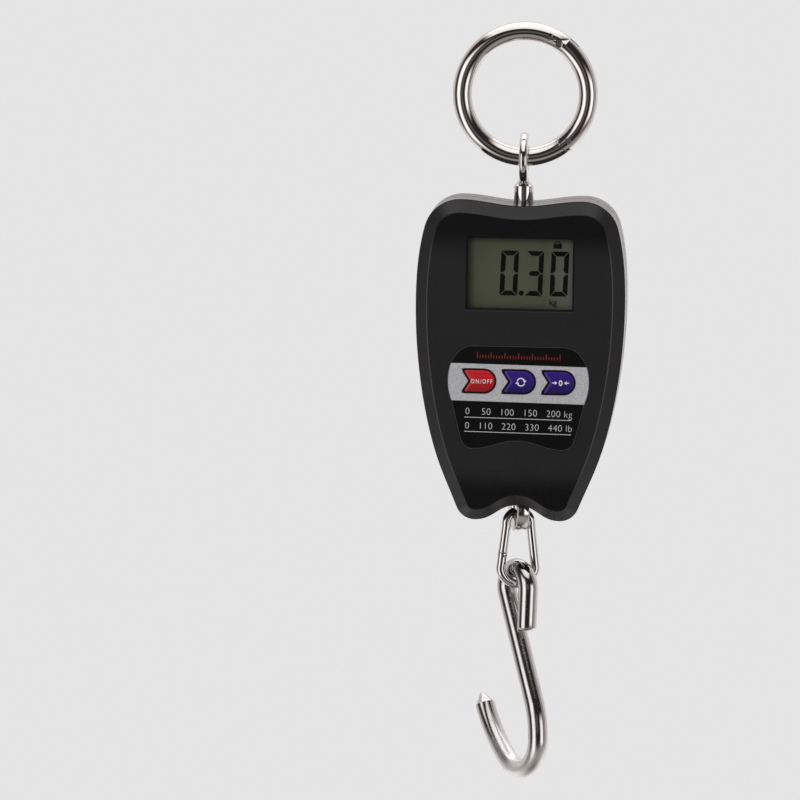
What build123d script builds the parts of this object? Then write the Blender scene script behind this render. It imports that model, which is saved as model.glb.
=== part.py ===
from build123d import *
import os
from math import asin, atan2, cos, degrees, hypot, radians, sin, sqrt, tan

# A hanging scale: spring-gate ring, eye bolts and load cell, two-part case with display and keys, link and hook.
# X runs to the right, Y from the display to the back, Z up.
# The origin is the point inside the top of the ring where the scale hangs.

# ---------------------------------------------------------------- clearances
running_gap = 0.05          # radial, pin in a hole that turns on it
contact_gap = 0.06          # between loops that hang in each other
part_gap = 0.15             # around pieces that sit in a pocket
key_gap = 0.3               # around a key in its opening
moving_gap = 0.3            # beside anything that swings past a wall
screw_gap = 0.05            # radial, around a screw in the plastic it cuts its thread in
coil_end_gap = 0.05         # between a spring's end and what it pushes on
embed = 0.5                 # how deep ribs and bosses run into the wall that carries them

# ---------------------------------------------------------------- hanging ring
ring_inside = 38.0
ring_bar = 6.8
hinge_angle = 136.0         # clock angle of the gate's rivet, from the top of the ring
seam_angle = 29.0           # where the joint between gate and ring body crosses the bar's centre line
seam_gap = 0.2
seam_reach = 20.0           # degrees of bar to each side that the slanted joint is cut from
rivet_diameter = 2.0
fork_gap = 0.15             # beside the tongues in the gate's forks
hinge_tongue = 2.4          # thickness of the flat tongue in the gate's fork
tongue_inset = 0.5          # its round end inside the bar's outline
tongue_neck_inset = 0.3     # its straight part inside that
rivet_edge = 0.15
gate_overrun = 10.0         # degrees of the gate's bar past its rivet before it is rounded off
spring_aim_angle = 20.0     # degrees from the rivet to where the gate's bore aims
latch_tongue = 2.4
latch_pin_diameter = 1.6
latch_pin_angle = 33.0
latch_pin_offset = -0.7     # from the bar's centre line, inwards
latch_pin_recess = 0.9      # floor of the recess around each end of the pin, below the bar's crown
latch_recess_diameter = 2.5
latch_pin_proud = 0.3       # of each end of the pin above that floor
latch_tongue_end = 39.5
latch_tongue_height = 2.6   # above the bar's centre line
plunger_diameter = 2.2
plunger_length = 2.8
gate_spring_length = 3.4
gate_spring_wire = 0.4
gate_spring_turns = 4

# ---------------------------------------------------------------- eye bolts
upper_eye_thickness = 3.0
upper_eye_hole = 7.8
upper_eye_wall = 5.3
upper_eye_round = 1.3       # of its edges
lower_eye_thickness = 4.4
lower_eye_hole = 4.6
lower_eye_wall = 5.5
lower_eye_round = 0.5
lower_eye_crown = 2.8       # radius of the rounded bore wall that the link rides on
collar_diameter = 7.0
upper_collar_top = 10.2     # below the ring bar's centre
bolt_thread = 6.0
thread_depth = 10.0
thread_hole_rest = 1.0      # of the threaded hole past the bolt's end
collar_end = 6.0            # of each collar past its nut
lower_neck = 2.0            # between the lower eye and its collar
lower_turn = 16.0           # the lower eye stands turned about Z by this much
nut_across_flats = 10.0
nut_height = 4.0
upper_nut_turn = 12.0
lower_nut_turn = 20.0

# ---------------------------------------------------------------- case
case_below_ring = 14.4      # top of the case below the ring bar's centre
case_height = 114.5
case_dip = 2.1              # centre of the top edge below its two crests
crest_x = 21.8
corner_radius = 13.0
corner_end = 75.0           # degrees of the top corner's arc
widest_half = 37.2
widest_below = 36.9
lower_half = 34.5
lower_below = 69.1
lower_lean = 9.7            # slope of the side at that height, from the vertical
waist_half = 27.9
waist_below = 95.0
waist_lean = 20.0
foot_x = 15.1
foot_radius = 7.0
foot_start = 22.0           # slope of the side where the foot's arc begins, from the vertical
arch_height = 5.4
front_wall_depth = 11.0     # joint line to the start of the front bevel
front_bevel_depth = 5.0
front_bevel_width = 4.3
rear_wall_depth = 9.0
rear_bevel_depth = 6.0
rear_bevel_width = 4.0
case_wall = 2.0
face_wall = 2.2
face_edge_round = 0.35
seal_thickness = 0.6
seal_width = 1.3
seal_inset = 0.5
lip_height = 3.0            # of the front shell's lip in the rear shell
lip_gap = 0.15              # between the lip and the wall around it
lip_thickness = 1.1
lip_root = 1.5              # of the lip's foot on the front shell's wall

# ---------------------------------------------------------------- load cell
cell_width = 20.0
cell_thickness = 11.0
cell_below_case_top = 19.0
cell_above_feet = 29.5      # room below the cell for the lower nut and the collar
cell_slot = 2.5
cell_slot_from_end = 17.0
cell_slot_wall = 6.0
cell_window_diameter = 9.0
cell_window_pitch = 12.0
gauge_length = 9.0
gauge_width = 5.0
gauge_thickness = 0.4
lead_diameter = 0.8
lead_bend = 1.5
gauge_lead_reach = 2.6      # from the gauge to the lead's bend
gauge_lead_y = -1.5

# ---------------------------------------------------------------- display
window_width = 37.2
window_height = 25.0
window_below_dip = 23.6
window_bevel = 0.9
window_corner = 0.6
lens_margin = 1.2
lens_corner = 0.6
lens_thickness = 1.2
lens_depth = 1.6            # below the front face
window_rim = 1.8
window_rim_corner = 1.5
rim_behind_lens = 0.4
glass_inset = 0.3           # edge of the glass inside the lens's edge
glass_corner = 0.2
glass_thickness = 2.4
back_light_thickness = 1.2
back_light_side = 1.0       # edge of the light inside the glass's edge
back_light_margin = 3.2
back_light_corner = 0.5
holder_wall = 1.6
holder_corner = 1.2
strip_height = 2.2
strip_margin = 2.0          # end of the strip inside the glass's edge
strip_corner = 0.3

# ---------------------------------------------------------------- board
board_width = 49.0
board_height = 66.0
board_thickness = 1.6
board_corner = 2.0
board_depth = 6.8           # face of the board behind the front face
board_top_below_dip = 8.0
board_screw_x = 21.3
board_screw_rows = (44.5, 71.0)     # below the dip
board_boss_diameter = 4.6
screw_m2 = 2.0
screw_m2_head = 3.8
screw_m2_head_height = 1.2
chip_x = 13.5
chip_width = 10.0
chip_height = 1.3
component_x = (-16.0, -12.0, 12.0, 16.0)
component_length = 2.0
component_width = 1.25
component_height = 0.9
component_pitch = 4.0
component_rows = 3
component_top = 14.0        # first row below the window's middle
sounder_x = -14.0
sounder_diameter = 6.0

# ---------------------------------------------------------------- label and keys
label_recess = 0.5
label_thickness = 0.4
label_top = 49.4            # all below the dip
label_top_half = 15.4
label_shoulder = 56.0
label_shoulder_half = 24.3
label_side = 62.8
label_side_half = 25.2
label_waist = 69.6
label_waist_half = 23.7
label_taper = 82.0
label_taper_half = 20.6
label_foot = 86.4
label_foot_x = 15.7
label_arch = 83.4
key_pitch = 14.1
keys_below_dip = 62.1
key_width = 11.8
key_height = 8.2
key_notch = 2.6
key_proud = 0.5
key_edge_round = 0.35
key_travel = 0.6
key_flange = 0.8
key_flange_margin = 0.6
switch_size = 6.0
switch_height = 2.2
switch_plunger = 3.4
switch_floor = 0.8          # left of the switch under its plunger
switch_sink = 0.3           # plunger inside its switch at rest
plunger_reach = 1.2         # plunger above its switch at rest

# ---------------------------------------------------------------- batteries and door
cell_diameter = 10.5
cell_length = 44.5
cell_edge_round = 0.6
cell_nub_diameter = 5.2
cell_nub = 1.0
cell_x = 17.5
bay_gap = 0.5
bay_wall = 1.2
spring_space = 4.0
spring_diameter = 5.7       # outside
spring_turns = 3
bay_below_case_top = 20.4
door_margin = 2.0
door_thickness = 1.8
door_floor = 1.6
door_tab_x = 6.0
door_tab_width = 6.0
door_tab_reach = 3.5
door_tab_thickness = 0.9
door_tab_gap = 0.2          # between the tabs and the wall they reach under
door_tab_foot = 2.0         # of each tab where it stands on the door
door_tab_root = 0.1         # of that foot inside the door
grip_rows = 4
grip_pitch = 1.6
grip_length = 14.0
grip_width = 0.8
grip_depth = 0.5
grip_below_edge = 5.0
spring_wire = 0.5
contact_thickness = 0.3
contact_width = 8.0
contact_tab = 3.0
contact_tab_y = -3.8        # of the tab from the middle of the battery
contact_tab_out = 0.8       # of the tab past the bay's wall
battery_lead_rise = 2.4

# ---------------------------------------------------------------- screws of the case
case_screw = 2.6
case_screw_head = 5.0
case_screw_head_height = 1.8
cross_length = 3.1
cross_width = 0.7
cross_depth = 1.1
case_boss_diameter = 6.2
upper_screw_x = 27.6
upper_screw_below = 12.5
lower_screw_x = 16.2
lower_screw_below = 101.5
screw_head_sink = 4.0
case_screw_bite = 8.0
case_screw_hole_rest = 1.0
board_screw_bite = 3.9
board_screw_hole_rest = 0.3

# ---------------------------------------------------------------- link and hook
link_wire = 3.2
link_width = 14.7           # outside, at its lower end
link_pitch = 26.3           # between the centres of its two round ends
link_top_radius = 4.9       # centre line of its narrow upper end
lower_eye_rise = 1.8        # centre of the link's upper wire above the case's feet
weld_diameter = 3.8
weld_length = 2.6
weld_drop = 15.1            # below the link's top
weld_edge_round = 0.28
hook_seat_gap = 0.55        # between the link and the hook's eye
hook_bar = 7.0
hook_turn = 53.0            # the hook's plane about Z, its shank side towards the front
hook_eye_radius = 6.0       # centre line
hook_shank_slope = 22.5     # from the vertical
hook_saddle_radius = 11.5
hook_saddle_x = 3.6
hook_saddle_drop = 53.0
hook_saddle_end = 42.0      # degrees past the lowest point
hook_tip_x = -19.8
hook_tip_drop = 46.2
hook_cone = 4.7
hook_cone_end = 0.6
hook_leg_drop = 15.4
hook_leg_round = 1.2
hook_lean = -2.6            # degrees, sets its centre of mass under the link

# ---------------------------------------------------------------- places worked out from the sizes
ring_radius = (ring_inside + ring_bar) / 2
ring_centre_z = -ring_inside / 2
ring_bottom_z = ring_centre_z - ring_radius
case_top_z = ring_bottom_z - case_below_ring
dip_z = case_top_z - case_dip
face_y = -(front_wall_depth + front_bevel_depth)
back_y = rear_wall_depth + rear_bevel_depth
inner_face_y = face_y + face_wall
board_y = face_y + board_depth
lens_y = face_y + lens_depth
glass_y = lens_y + lens_thickness + contact_gap
window_z = dip_z - window_below_dip
keys_z = dip_z - keys_below_dip
board_z = dip_z - board_top_below_dip - board_height / 2
cell_top_z = case_top_z - cell_below_case_top
foot_z = case_top_z - case_height
cell_bottom_z = foot_z + cell_above_feet
cell_height = cell_top_z - cell_bottom_z
lower_pivot_z = foot_z + lower_eye_rise
link_bottom_z = lower_pivot_z - link_pitch
hook_pivot_lift = link_wire / 2 + hook_seat_gap + hook_bar / 2
bay_top_z = case_top_z - bay_below_case_top
bay_inner_length = cell_length + spring_space + contact_thickness
bay_bottom_z = bay_top_z - bay_inner_length
battery_z = (bay_top_z + bay_bottom_z) / 2
bay_half = cell_diameter / 2 + bay_gap
door_y = back_y - door_thickness
floor_y = door_y - part_gap - door_floor
battery_y = door_y - part_gap - cell_diameter / 2
door_half = cell_x + bay_half + door_margin
door_top_z = bay_top_z + door_margin
door_bottom_z = bay_bottom_z - door_margin
door_axis_y = door_y + door_thickness / 2
door_axis_z = door_bottom_z + door_thickness / 2
board_screws_at = [(x, dip_z - z) for z in board_screw_rows for x in (-board_screw_x, board_screw_x)]
case_screws_at = [(x, case_top_z - upper_screw_below) for x in (-upper_screw_x, upper_screw_x)]
case_screws_at += [(x, case_top_z - lower_screw_below) for x in (-lower_screw_x, lower_screw_x)]
key_places = {"on_off": -key_pitch, "unit": 0.0, "zero": key_pitch}

ring_plane = Plane(origin=(0, 0, ring_centre_z), x_dir=(1, 0, 0), z_dir=(0, -1, 0))
ring_axis = Axis((0, 0, ring_centre_z), (0, 1, 0))


def front(depth):
    """Plane seen from the front, at a distance behind the joint line."""
    return Plane(origin=(0, depth, 0), x_dir=(1, 0, 0), z_dir=(0, -1, 0))


def rear(depth):
    """Plane seen from the back, at a distance behind the joint line."""
    return Plane(origin=(0, depth, 0), x_dir=(-1, 0, 0), z_dir=(0, 1, 0))


def turned(angle, height=0.0, lean=0.0):
    """Upright plane through the Z axis, turned about it, with its own x axis leaning up."""
    turn = radians(angle)
    rise = radians(lean)
    return Plane(origin=(0, 0, height), x_dir=(cos(turn) * cos(rise), sin(turn) * cos(rise), sin(rise)),
                 z_dir=(sin(turn), -cos(turn), 0))


def clock(angle, radius=ring_radius):
    """Point on the ring plane at a clock angle."""
    return (radius * sin(radians(angle)), radius * cos(radians(angle)))


# ================================================================ ring
hinge_point = clock(hinge_angle)
knuckle_radius = ring_bar / 2
tongue_radius = knuckle_radius - tongue_inset
seam_point = clock(seam_angle)
seam_swing = hypot(seam_point[0] - hinge_point[0], seam_point[1] - hinge_point[1])
latch_tongue_inner = ring_radius + latch_pin_offset + latch_pin_diameter / 2 + part_gap
tongue_corner = clock(latch_tongue_end, latch_tongue_inner)
tongue_swing = hypot(tongue_corner[0] - hinge_point[0], tongue_corner[1] - hinge_point[1]) - 2 * fork_gap
rivet_length = 2 * sqrt(knuckle_radius**2 - (rivet_diameter / 2) ** 2)
latch_place = clock(latch_pin_angle, ring_radius + latch_pin_offset)
latch_recess_floor = ring_bar / 2 - latch_pin_recess


def ring_segment(start, end):
    """The ring's round bar between two clock angles."""
    x, z = clock(start)
    across = Plane(origin=(x, 0, ring_centre_z + z), x_dir=(sin(radians(start)), 0, cos(radians(start))),
                   z_dir=(cos(radians(start)), 0, -sin(radians(start))))
    with BuildPart() as segment:
        with BuildSketch(across):
            Circle(ring_bar / 2)
        revolve(axis=ring_axis, revolution_arc=end - start)
    return segment.part


def ring_sector(start, end, inner, outer, thickness):
    """Flat piece of a ring in the ring's plane, centred on it."""
    with BuildPart() as sector:
        with BuildSketch(ring_plane):
            with BuildLine():
                first = ThreePointArc(clock(start, outer), clock((start + end) / 2, outer), clock(end, outer))
                second = ThreePointArc(clock(end, inner), clock((start + end) / 2, inner), clock(start, inner))
                Line(first @ 1, second @ 0)
                Line(second @ 1, first @ 0)
            make_face()
        extrude(amount=thickness / 2, both=True)
    return sector.part


body_ward = hinge_angle + 90.0      # direction from the rivet into the ring body, as a clock angle
ring_direction = -body_ward + 90.0  # the same, counted from the plane's x axis

# the joint at the latch is an arc about the rivet, so the gate swings clear of the ring body
with BuildPart() as ring_nose:
    add(ring_segment(seam_angle - seam_reach, seam_angle + seam_reach))
    with BuildSketch(ring_plane):
        with Locations(hinge_point):
            Circle(seam_swing + seam_gap)
    extrude(amount=ring_bar, both=True, mode=Mode.SUBTRACT)

with BuildPart() as ring_body:
    add(ring_segment(hinge_angle, 360.0 + seam_angle - seam_reach))
    add(ring_nose.part)
    with BuildSketch(ring_plane):
        with Locations(hinge_point):
            Circle(knuckle_radius + fork_gap)
    extrude(amount=ring_bar, both=True, mode=Mode.SUBTRACT)
    with BuildSketch(ring_plane):
        with Locations(hinge_point):
            Circle(tongue_radius)
        with Locations(Location((*hinge_point, 0), (0, 0, ring_direction))):
            Rectangle(knuckle_radius + 2 * fork_gap, 2 * (tongue_radius - tongue_neck_inset), align=(Align.MIN, Align.CENTER))
    extrude(amount=hinge_tongue / 2, both=True)
    add(ring_sector(seam_angle, latch_tongue_end, latch_tongue_inner, ring_radius + latch_tongue_height,
                    latch_tongue))
    with BuildSketch(ring_plane):
        with Locations(hinge_point):
            Circle(rivet_diameter / 2)
    extrude(amount=ring_bar, both=True, mode=Mode.SUBTRACT)
ring_body.part.label = "ring_body"

aim_point = clock(hinge_angle - spring_aim_angle)
spring_aim = Plane(origin=(hinge_point[0], 0, ring_centre_z + hinge_point[1]), x_dir=(0, 1, 0),
                   z_dir=(aim_point[0] - hinge_point[0], 0, aim_point[1] - hinge_point[1]))
plunger_start = tongue_radius + running_gap
spring_start = plunger_start + plunger_length
spring_end = spring_start + gate_spring_length

with BuildPart() as ring_gate:
    add(ring_segment(seam_angle - seam_reach, hinge_angle + gate_overrun))
    with BuildSketch(ring_plane):
        with Locations(Location((*hinge_point, 0), (0, 0, ring_direction))):
            Rectangle(2 * ring_bar, 3 * ring_bar, align=(Align.MIN, Align.CENTER))
        with Locations(hinge_point):
            Circle(knuckle_radius, mode=Mode.SUBTRACT)
    extrude(amount=ring_bar, both=True, mode=Mode.SUBTRACT)
    with BuildSketch(ring_plane):
        with Locations(Location((*hinge_point, 0), (0, 0, ring_direction))):
            Rectangle(2 * ring_bar, 3 * ring_bar, align=(Align.MIN, Align.CENTER))
        with Locations(hinge_point):
            Circle(knuckle_radius + fork_gap)
    extrude(amount=hinge_tongue / 2 + fork_gap, both=True, mode=Mode.SUBTRACT)
    with BuildSketch(ring_plane):
        with Locations(hinge_point):
            Circle(seam_swing + 2 * ring_bar)
            Circle(seam_swing, mode=Mode.SUBTRACT)
    extrude(amount=ring_bar, both=True, mode=Mode.SUBTRACT)
    with BuildSketch(ring_plane):
        with Locations(hinge_point):
            Circle(seam_swing + 2 * ring_bar)
            Circle(tongue_swing, mode=Mode.SUBTRACT)
    extrude(amount=latch_tongue / 2 + fork_gap, both=True, mode=Mode.SUBTRACT)
    with BuildSketch(ring_plane):
        with Locations(hinge_point):
            Circle(rivet_diameter / 2 + running_gap)
        with Locations(latch_place):
            Circle(latch_pin_diameter / 2)
    extrude(amount=ring_bar, both=True, mode=Mode.SUBTRACT)
    for side in (front(-latch_recess_floor), rear(latch_recess_floor)):
        with BuildSketch(side):
            with Locations((side.x_dir.X * latch_place[0], ring_centre_z + latch_place[1])):
                Circle(latch_recess_diameter / 2)
        extrude(amount=latch_pin_recess, mode=Mode.SUBTRACT)
    with BuildSketch(spring_aim):
        Circle(plunger_diameter / 2 + running_gap)
    extrude(amount=spring_end + running_gap, mode=Mode.SUBTRACT)
ring_gate.part.label = "ring_gate"

with BuildPart() as gate_rivet:
    with BuildSketch(ring_plane):
        with Locations(hinge_point):
            Circle(rivet_diameter / 2)
    extrude(amount=rivet_length / 2, both=True)
    chamfer(gate_rivet.edges().filter_by(GeomType.CIRCLE), rivet_edge)
gate_rivet.part.label = "gate_rivet"

with BuildPart() as latch_pin:
    with BuildSketch(ring_plane):
        with Locations(latch_place):
            Circle(latch_pin_diameter / 2)
    extrude(amount=latch_recess_floor + latch_pin_proud, both=True)
latch_pin.part.label = "latch_pin"

with BuildPart() as gate_plunger:
    with BuildSketch(spring_aim.offset(plunger_start)):
        Circle(plunger_diameter / 2)
    extrude(amount=plunger_length)
gate_plunger.part.label = "gate_plunger"


def coil(place, radius, wire, length, turns):
    """Round wire wound along a plane's normal, with its ends inside the given length."""
    rise = length - wire - 2 * coil_end_gap
    with BuildPart() as spring:
        with BuildLine():
            turn_line = Helix(pitch=rise / turns, height=rise, radius=radius,
                              center=place.from_local_coords((0, 0, wire / 2 + coil_end_gap)), direction=place.z_dir)
        with BuildSketch(Plane(origin=turn_line @ 0, z_dir=turn_line % 0)):
            Circle(wire / 2)
        sweep(path=turn_line, is_frenet=True)
    return spring


gate_spring = coil(spring_aim.offset(spring_start), plunger_diameter / 2 - gate_spring_wire, gate_spring_wire,
                   gate_spring_length, gate_spring_turns)
gate_spring.part.label = "gate_spring"


# ================================================================ eye bolts, load cell, nuts
def rounded_section(across, hole_z):
    """Cut through the upper eye's wall, above the side of it that faces the hole."""
    with BuildSketch(across) as section:
        with Locations((0, hole_z + upper_eye_wall / 2)):
            RectangleRounded(upper_eye_thickness, upper_eye_wall, upper_eye_round)
    return section.sketch


def crowned_section(across, hole_z):
    """Cut through the lower eye's wall: crowned towards the hole for the link, nearly square outside."""
    half = lower_eye_thickness / 2
    crown_z = hole_z + lower_eye_crown - sqrt(lower_eye_crown**2 - half**2)
    outer_z = hole_z + lower_eye_wall
    with BuildSketch(across) as section:
        with BuildLine():
            ThreePointArc((-half, crown_z), (0, hole_z), (half, crown_z))
            Polyline((half, crown_z), (half, outer_z), (-half, outer_z), (-half, crown_z))
        make_face()
        fillet(section.vertices().sort_by(Axis.Y)[-2:], lower_eye_round)
    return section.sketch


def eye_bolt(pivot_z, load_radius, hole, wall, thickness, section, up, collar_top, shoulder_z, end_z, turn):
    """Flat eye on a round collar and a threaded shank; up is 1 where the eye is at the top, -1 below."""
    eye_z = pivot_z - up * (hole / 2 - load_radius - contact_gap)
    collar_z = pivot_z - up * collar_top
    neck_z = eye_z - up * (hole / 2 + wall / 2)
    across = turned(turn)
    with BuildPart() as bolt:
        add(section(across, eye_z + hole / 2))
        revolve(axis=Axis((0, 0, eye_z), across.x_dir))
        with BuildSketch(across):
            with BuildLine():
                Line((0, neck_z), (thickness / 2, neck_z))
                Spline((thickness / 2, neck_z), (collar_diameter / 2, collar_z),
                       tangents=((0.1, -up), (1.6, -up)))
                Polyline((collar_diameter / 2, collar_z), (collar_diameter / 2, shoulder_z),
                         (bolt_thread / 2, shoulder_z), (bolt_thread / 2, end_z), (0, end_z), (0, neck_z))
            make_face()
        revolve(axis=Axis.Z)
    return bolt


upper_eye_bolt = eye_bolt(ring_bottom_z, ring_bar / 2, upper_eye_hole, upper_eye_wall, upper_eye_thickness,
                          rounded_section, 1, upper_collar_top, cell_top_z + nut_height + collar_end,
                          cell_top_z - thread_depth, 0.0)
upper_eye_bolt.part.label = "upper_eye_bolt"

lower_collar_top = lower_eye_hole / 2 + lower_eye_wall + lower_neck
lower_eye_bolt = eye_bolt(lower_pivot_z, link_wire / 2, lower_eye_hole, lower_eye_wall, lower_eye_thickness,
                          crowned_section, -1, lower_collar_top, cell_bottom_z - nut_height - collar_end,
                          cell_bottom_z + thread_depth, lower_turn)
lower_eye_bolt.part.label = "lower_eye_bolt"


def lock_nut(bottom_z, turn):
    """Six-sided nut on the axis of the eye bolts."""
    with BuildPart() as nut:
        with BuildSketch(Plane.XY.offset(bottom_z)):
            RegularPolygon(nut_across_flats / 2, 6, major_radius=False, rotation=turn)
            Circle(bolt_thread / 2, mode=Mode.SUBTRACT)
        extrude(amount=nut_height)
    return nut


upper_lock_nut = lock_nut(cell_top_z, upper_nut_turn)
upper_lock_nut.part.label = "upper_lock_nut"
lower_lock_nut = lock_nut(cell_bottom_z - nut_height, lower_nut_turn)
lower_lock_nut.part.label = "lower_lock_nut"

cell_middle_z = (cell_top_z + cell_bottom_z) / 2
with BuildPart() as load_cell:
    with BuildSketch(Plane.XZ):
        with Locations((0, cell_middle_z)):
            Rectangle(cell_width, cell_height)
            SlotCenterToCenter(cell_window_pitch, cell_window_diameter, rotation=90, mode=Mode.SUBTRACT)
        for side, slot_z in ((-1, cell_top_z - cell_slot_from_end), (1, cell_bottom_z + cell_slot_from_end)):
            with Locations((-side * cell_slot_wall / 2, slot_z)):
                Rectangle(cell_width - cell_slot_wall, cell_slot, mode=Mode.SUBTRACT)
    extrude(amount=cell_thickness / 2, both=True)
    with BuildSketch(Plane.XY.offset(cell_top_z)):
        Circle(bolt_thread / 2)
    extrude(amount=-thread_depth - thread_hole_rest, mode=Mode.SUBTRACT)
    with BuildSketch(Plane.XY.offset(cell_bottom_z)):
        Circle(bolt_thread / 2)
    extrude(amount=thread_depth + thread_hole_rest, mode=Mode.SUBTRACT)
load_cell.part.label = "load_cell"

with BuildPart() as strain_gauges:
    for side in (-1, 1):
        for row in (-1, 1):
            with Locations((side * (cell_width + gauge_thickness) / 2, 0, cell_middle_z + row * cell_window_pitch / 2)):
                Box(gauge_thickness, gauge_width, gauge_length)
strain_gauges.part.label = "strain_gauges"


# ================================================================ case
side_points = [
    (widest_half, widest_below, 0.0),
    (lower_half, lower_below, lower_lean),
    (waist_half, waist_below, waist_lean),
]


def case_outline(plane, inset=0.0):
    """Front view of the case on a plane, with its edge moved in by inset."""
    turn = radians(corner_end)
    slope = radians(foot_start)
    corner = corner_radius - inset
    foot = foot_radius - inset
    corner_side = (crest_x + corner * sin(turn), case_top_z - corner_radius + corner * cos(turn))
    foot_side = (foot_x + foot * cos(slope), foot_z + foot_radius - foot * sin(slope))
    side = [(half - inset * cos(radians(lean)), case_top_z - below + inset * sin(radians(lean)))
            for half, below, lean in side_points]
    with BuildSketch(plane) as outline:
        with BuildLine():
            Spline((0, dip_z - inset), (crest_x, case_top_z - inset), tangents=((1, 0), (1, 0)))
            CenterArc((crest_x, case_top_z - corner_radius), corner, 90, -corner_end)
            Spline(corner_side, *side, foot_side,
                   tangents=((cos(turn), -sin(turn)), (-sin(slope), -cos(slope))))
            CenterArc((foot_x, foot_z + foot_radius), foot, -foot_start, foot_start - 90)
            Spline((foot_x, foot_z + inset), (0, foot_z + arch_height + inset), tangents=((-1, 0), (-1, 0)))
            mirror(about=Plane.YZ)
        make_face()
    return outline.sketch


def shell_blank(plane, seal, wall_depth, bevel_depth, bevel_width, face_thickness):
    """Half of the case: a straight wall, then a bevel to a flat face, hollow behind."""
    slant = atan2(bevel_width, bevel_depth)
    hollow_wall = wall_depth - case_wall * tan(slant / 2)
    hollow_bevel = wall_depth + bevel_depth - face_thickness - hollow_wall
    with BuildPart() as blank:
        extrude(case_outline(plane.offset(seal)), amount=wall_depth - seal)
        loft([case_outline(plane.offset(wall_depth)),
              case_outline(plane.offset(wall_depth + bevel_depth), bevel_width)], ruled=True)
        face_edges = blank.faces().sort_by(Axis(plane.origin, plane.z_dir))[-1].edges()
        fillet(face_edges, face_edge_round)
        extrude(case_outline(plane, case_wall), amount=hollow_wall, mode=Mode.SUBTRACT)
        loft([case_outline(plane.offset(hollow_wall), case_wall),
              case_outline(plane.offset(hollow_wall + hollow_bevel), case_wall + hollow_bevel * tan(slant))],
             ruled=True, mode=Mode.SUBTRACT)
    return blank.part


def label_outline(plane, grow=0.0):
    """Front view of the label, with its edge moved out by grow."""
    with BuildSketch(plane) as outline:
        with BuildLine():
            top = Line((0, dip_z - label_top + grow), (label_top_half, dip_z - label_top + grow))
            shoulder = Spline(top @ 1, (label_shoulder_half + grow, dip_z - label_shoulder),
                              tangents=((1, 0), (0.5, -1)))
            side = ThreePointArc(shoulder @ 1, (label_side_half + grow, dip_z - label_side),
                                 (label_waist_half + grow, dip_z - label_waist))
            taper = Line(side @ 1, (label_taper_half + grow, dip_z - label_taper))
            foot = Spline(taper @ 1, (label_foot_x, dip_z - label_foot - grow), tangents=(taper % 1, (-1, 0)))
            Spline(foot @ 1, (0, dip_z - label_arch - grow), tangents=((-1, 0), (-1, 0)))
            mirror(about=Plane.YZ)
        make_face()
    return outline.sketch


def key_outlines(plane, places, grow=0.0):
    """Front view of keys: a notch on the left, a half round on the right."""
    half = key_height / 2 + grow
    left = -key_width / 2 - grow
    with BuildSketch(plane) as outline:
        for place in places:
            with BuildLine():
                right = key_width / 2 - key_height / 2
                Polyline((place + right, keys_z + half), (place + left, keys_z + half),
                         (place + left + key_notch, keys_z), (place + left, keys_z - half),
                         (place + right, keys_z - half))
                ThreePointArc((place + right, keys_z - half), (place + right + half, keys_z),
                              (place + right, keys_z + half))
            make_face()
    return outline.sketch


def rounded_box(plane, width, height, corner, depth, middle_z):
    """Flat box with rounded corners, seen from the front."""
    with BuildPart() as block:
        with BuildSketch(plane):
            with Locations((0, middle_z)):
                RectangleRounded(width, height, corner)
        extrude(amount=depth)
    return block.part


lens_width = window_width + 2 * lens_margin
lens_height = window_height + 2 * lens_margin
rim_back_y = lens_y + lens_thickness + rim_behind_lens

with BuildPart() as bolt_ways:
    with BuildSketch(Plane.XY.offset(cell_top_z + nut_height)):
        Circle(collar_diameter / 2 + moving_gap)
    extrude(amount=cell_below_case_top)
    with BuildSketch(Plane.XY.offset(cell_bottom_z - nut_height)):
        SlotOverall(lower_eye_hole + 2 * lower_eye_wall + 4 * moving_gap,
                    lower_eye_thickness + 4 * moving_gap, rotation=90 + lower_turn)
        Circle(collar_diameter / 2 + moving_gap)
    extrude(amount=foot_z - cell_bottom_z)

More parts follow.
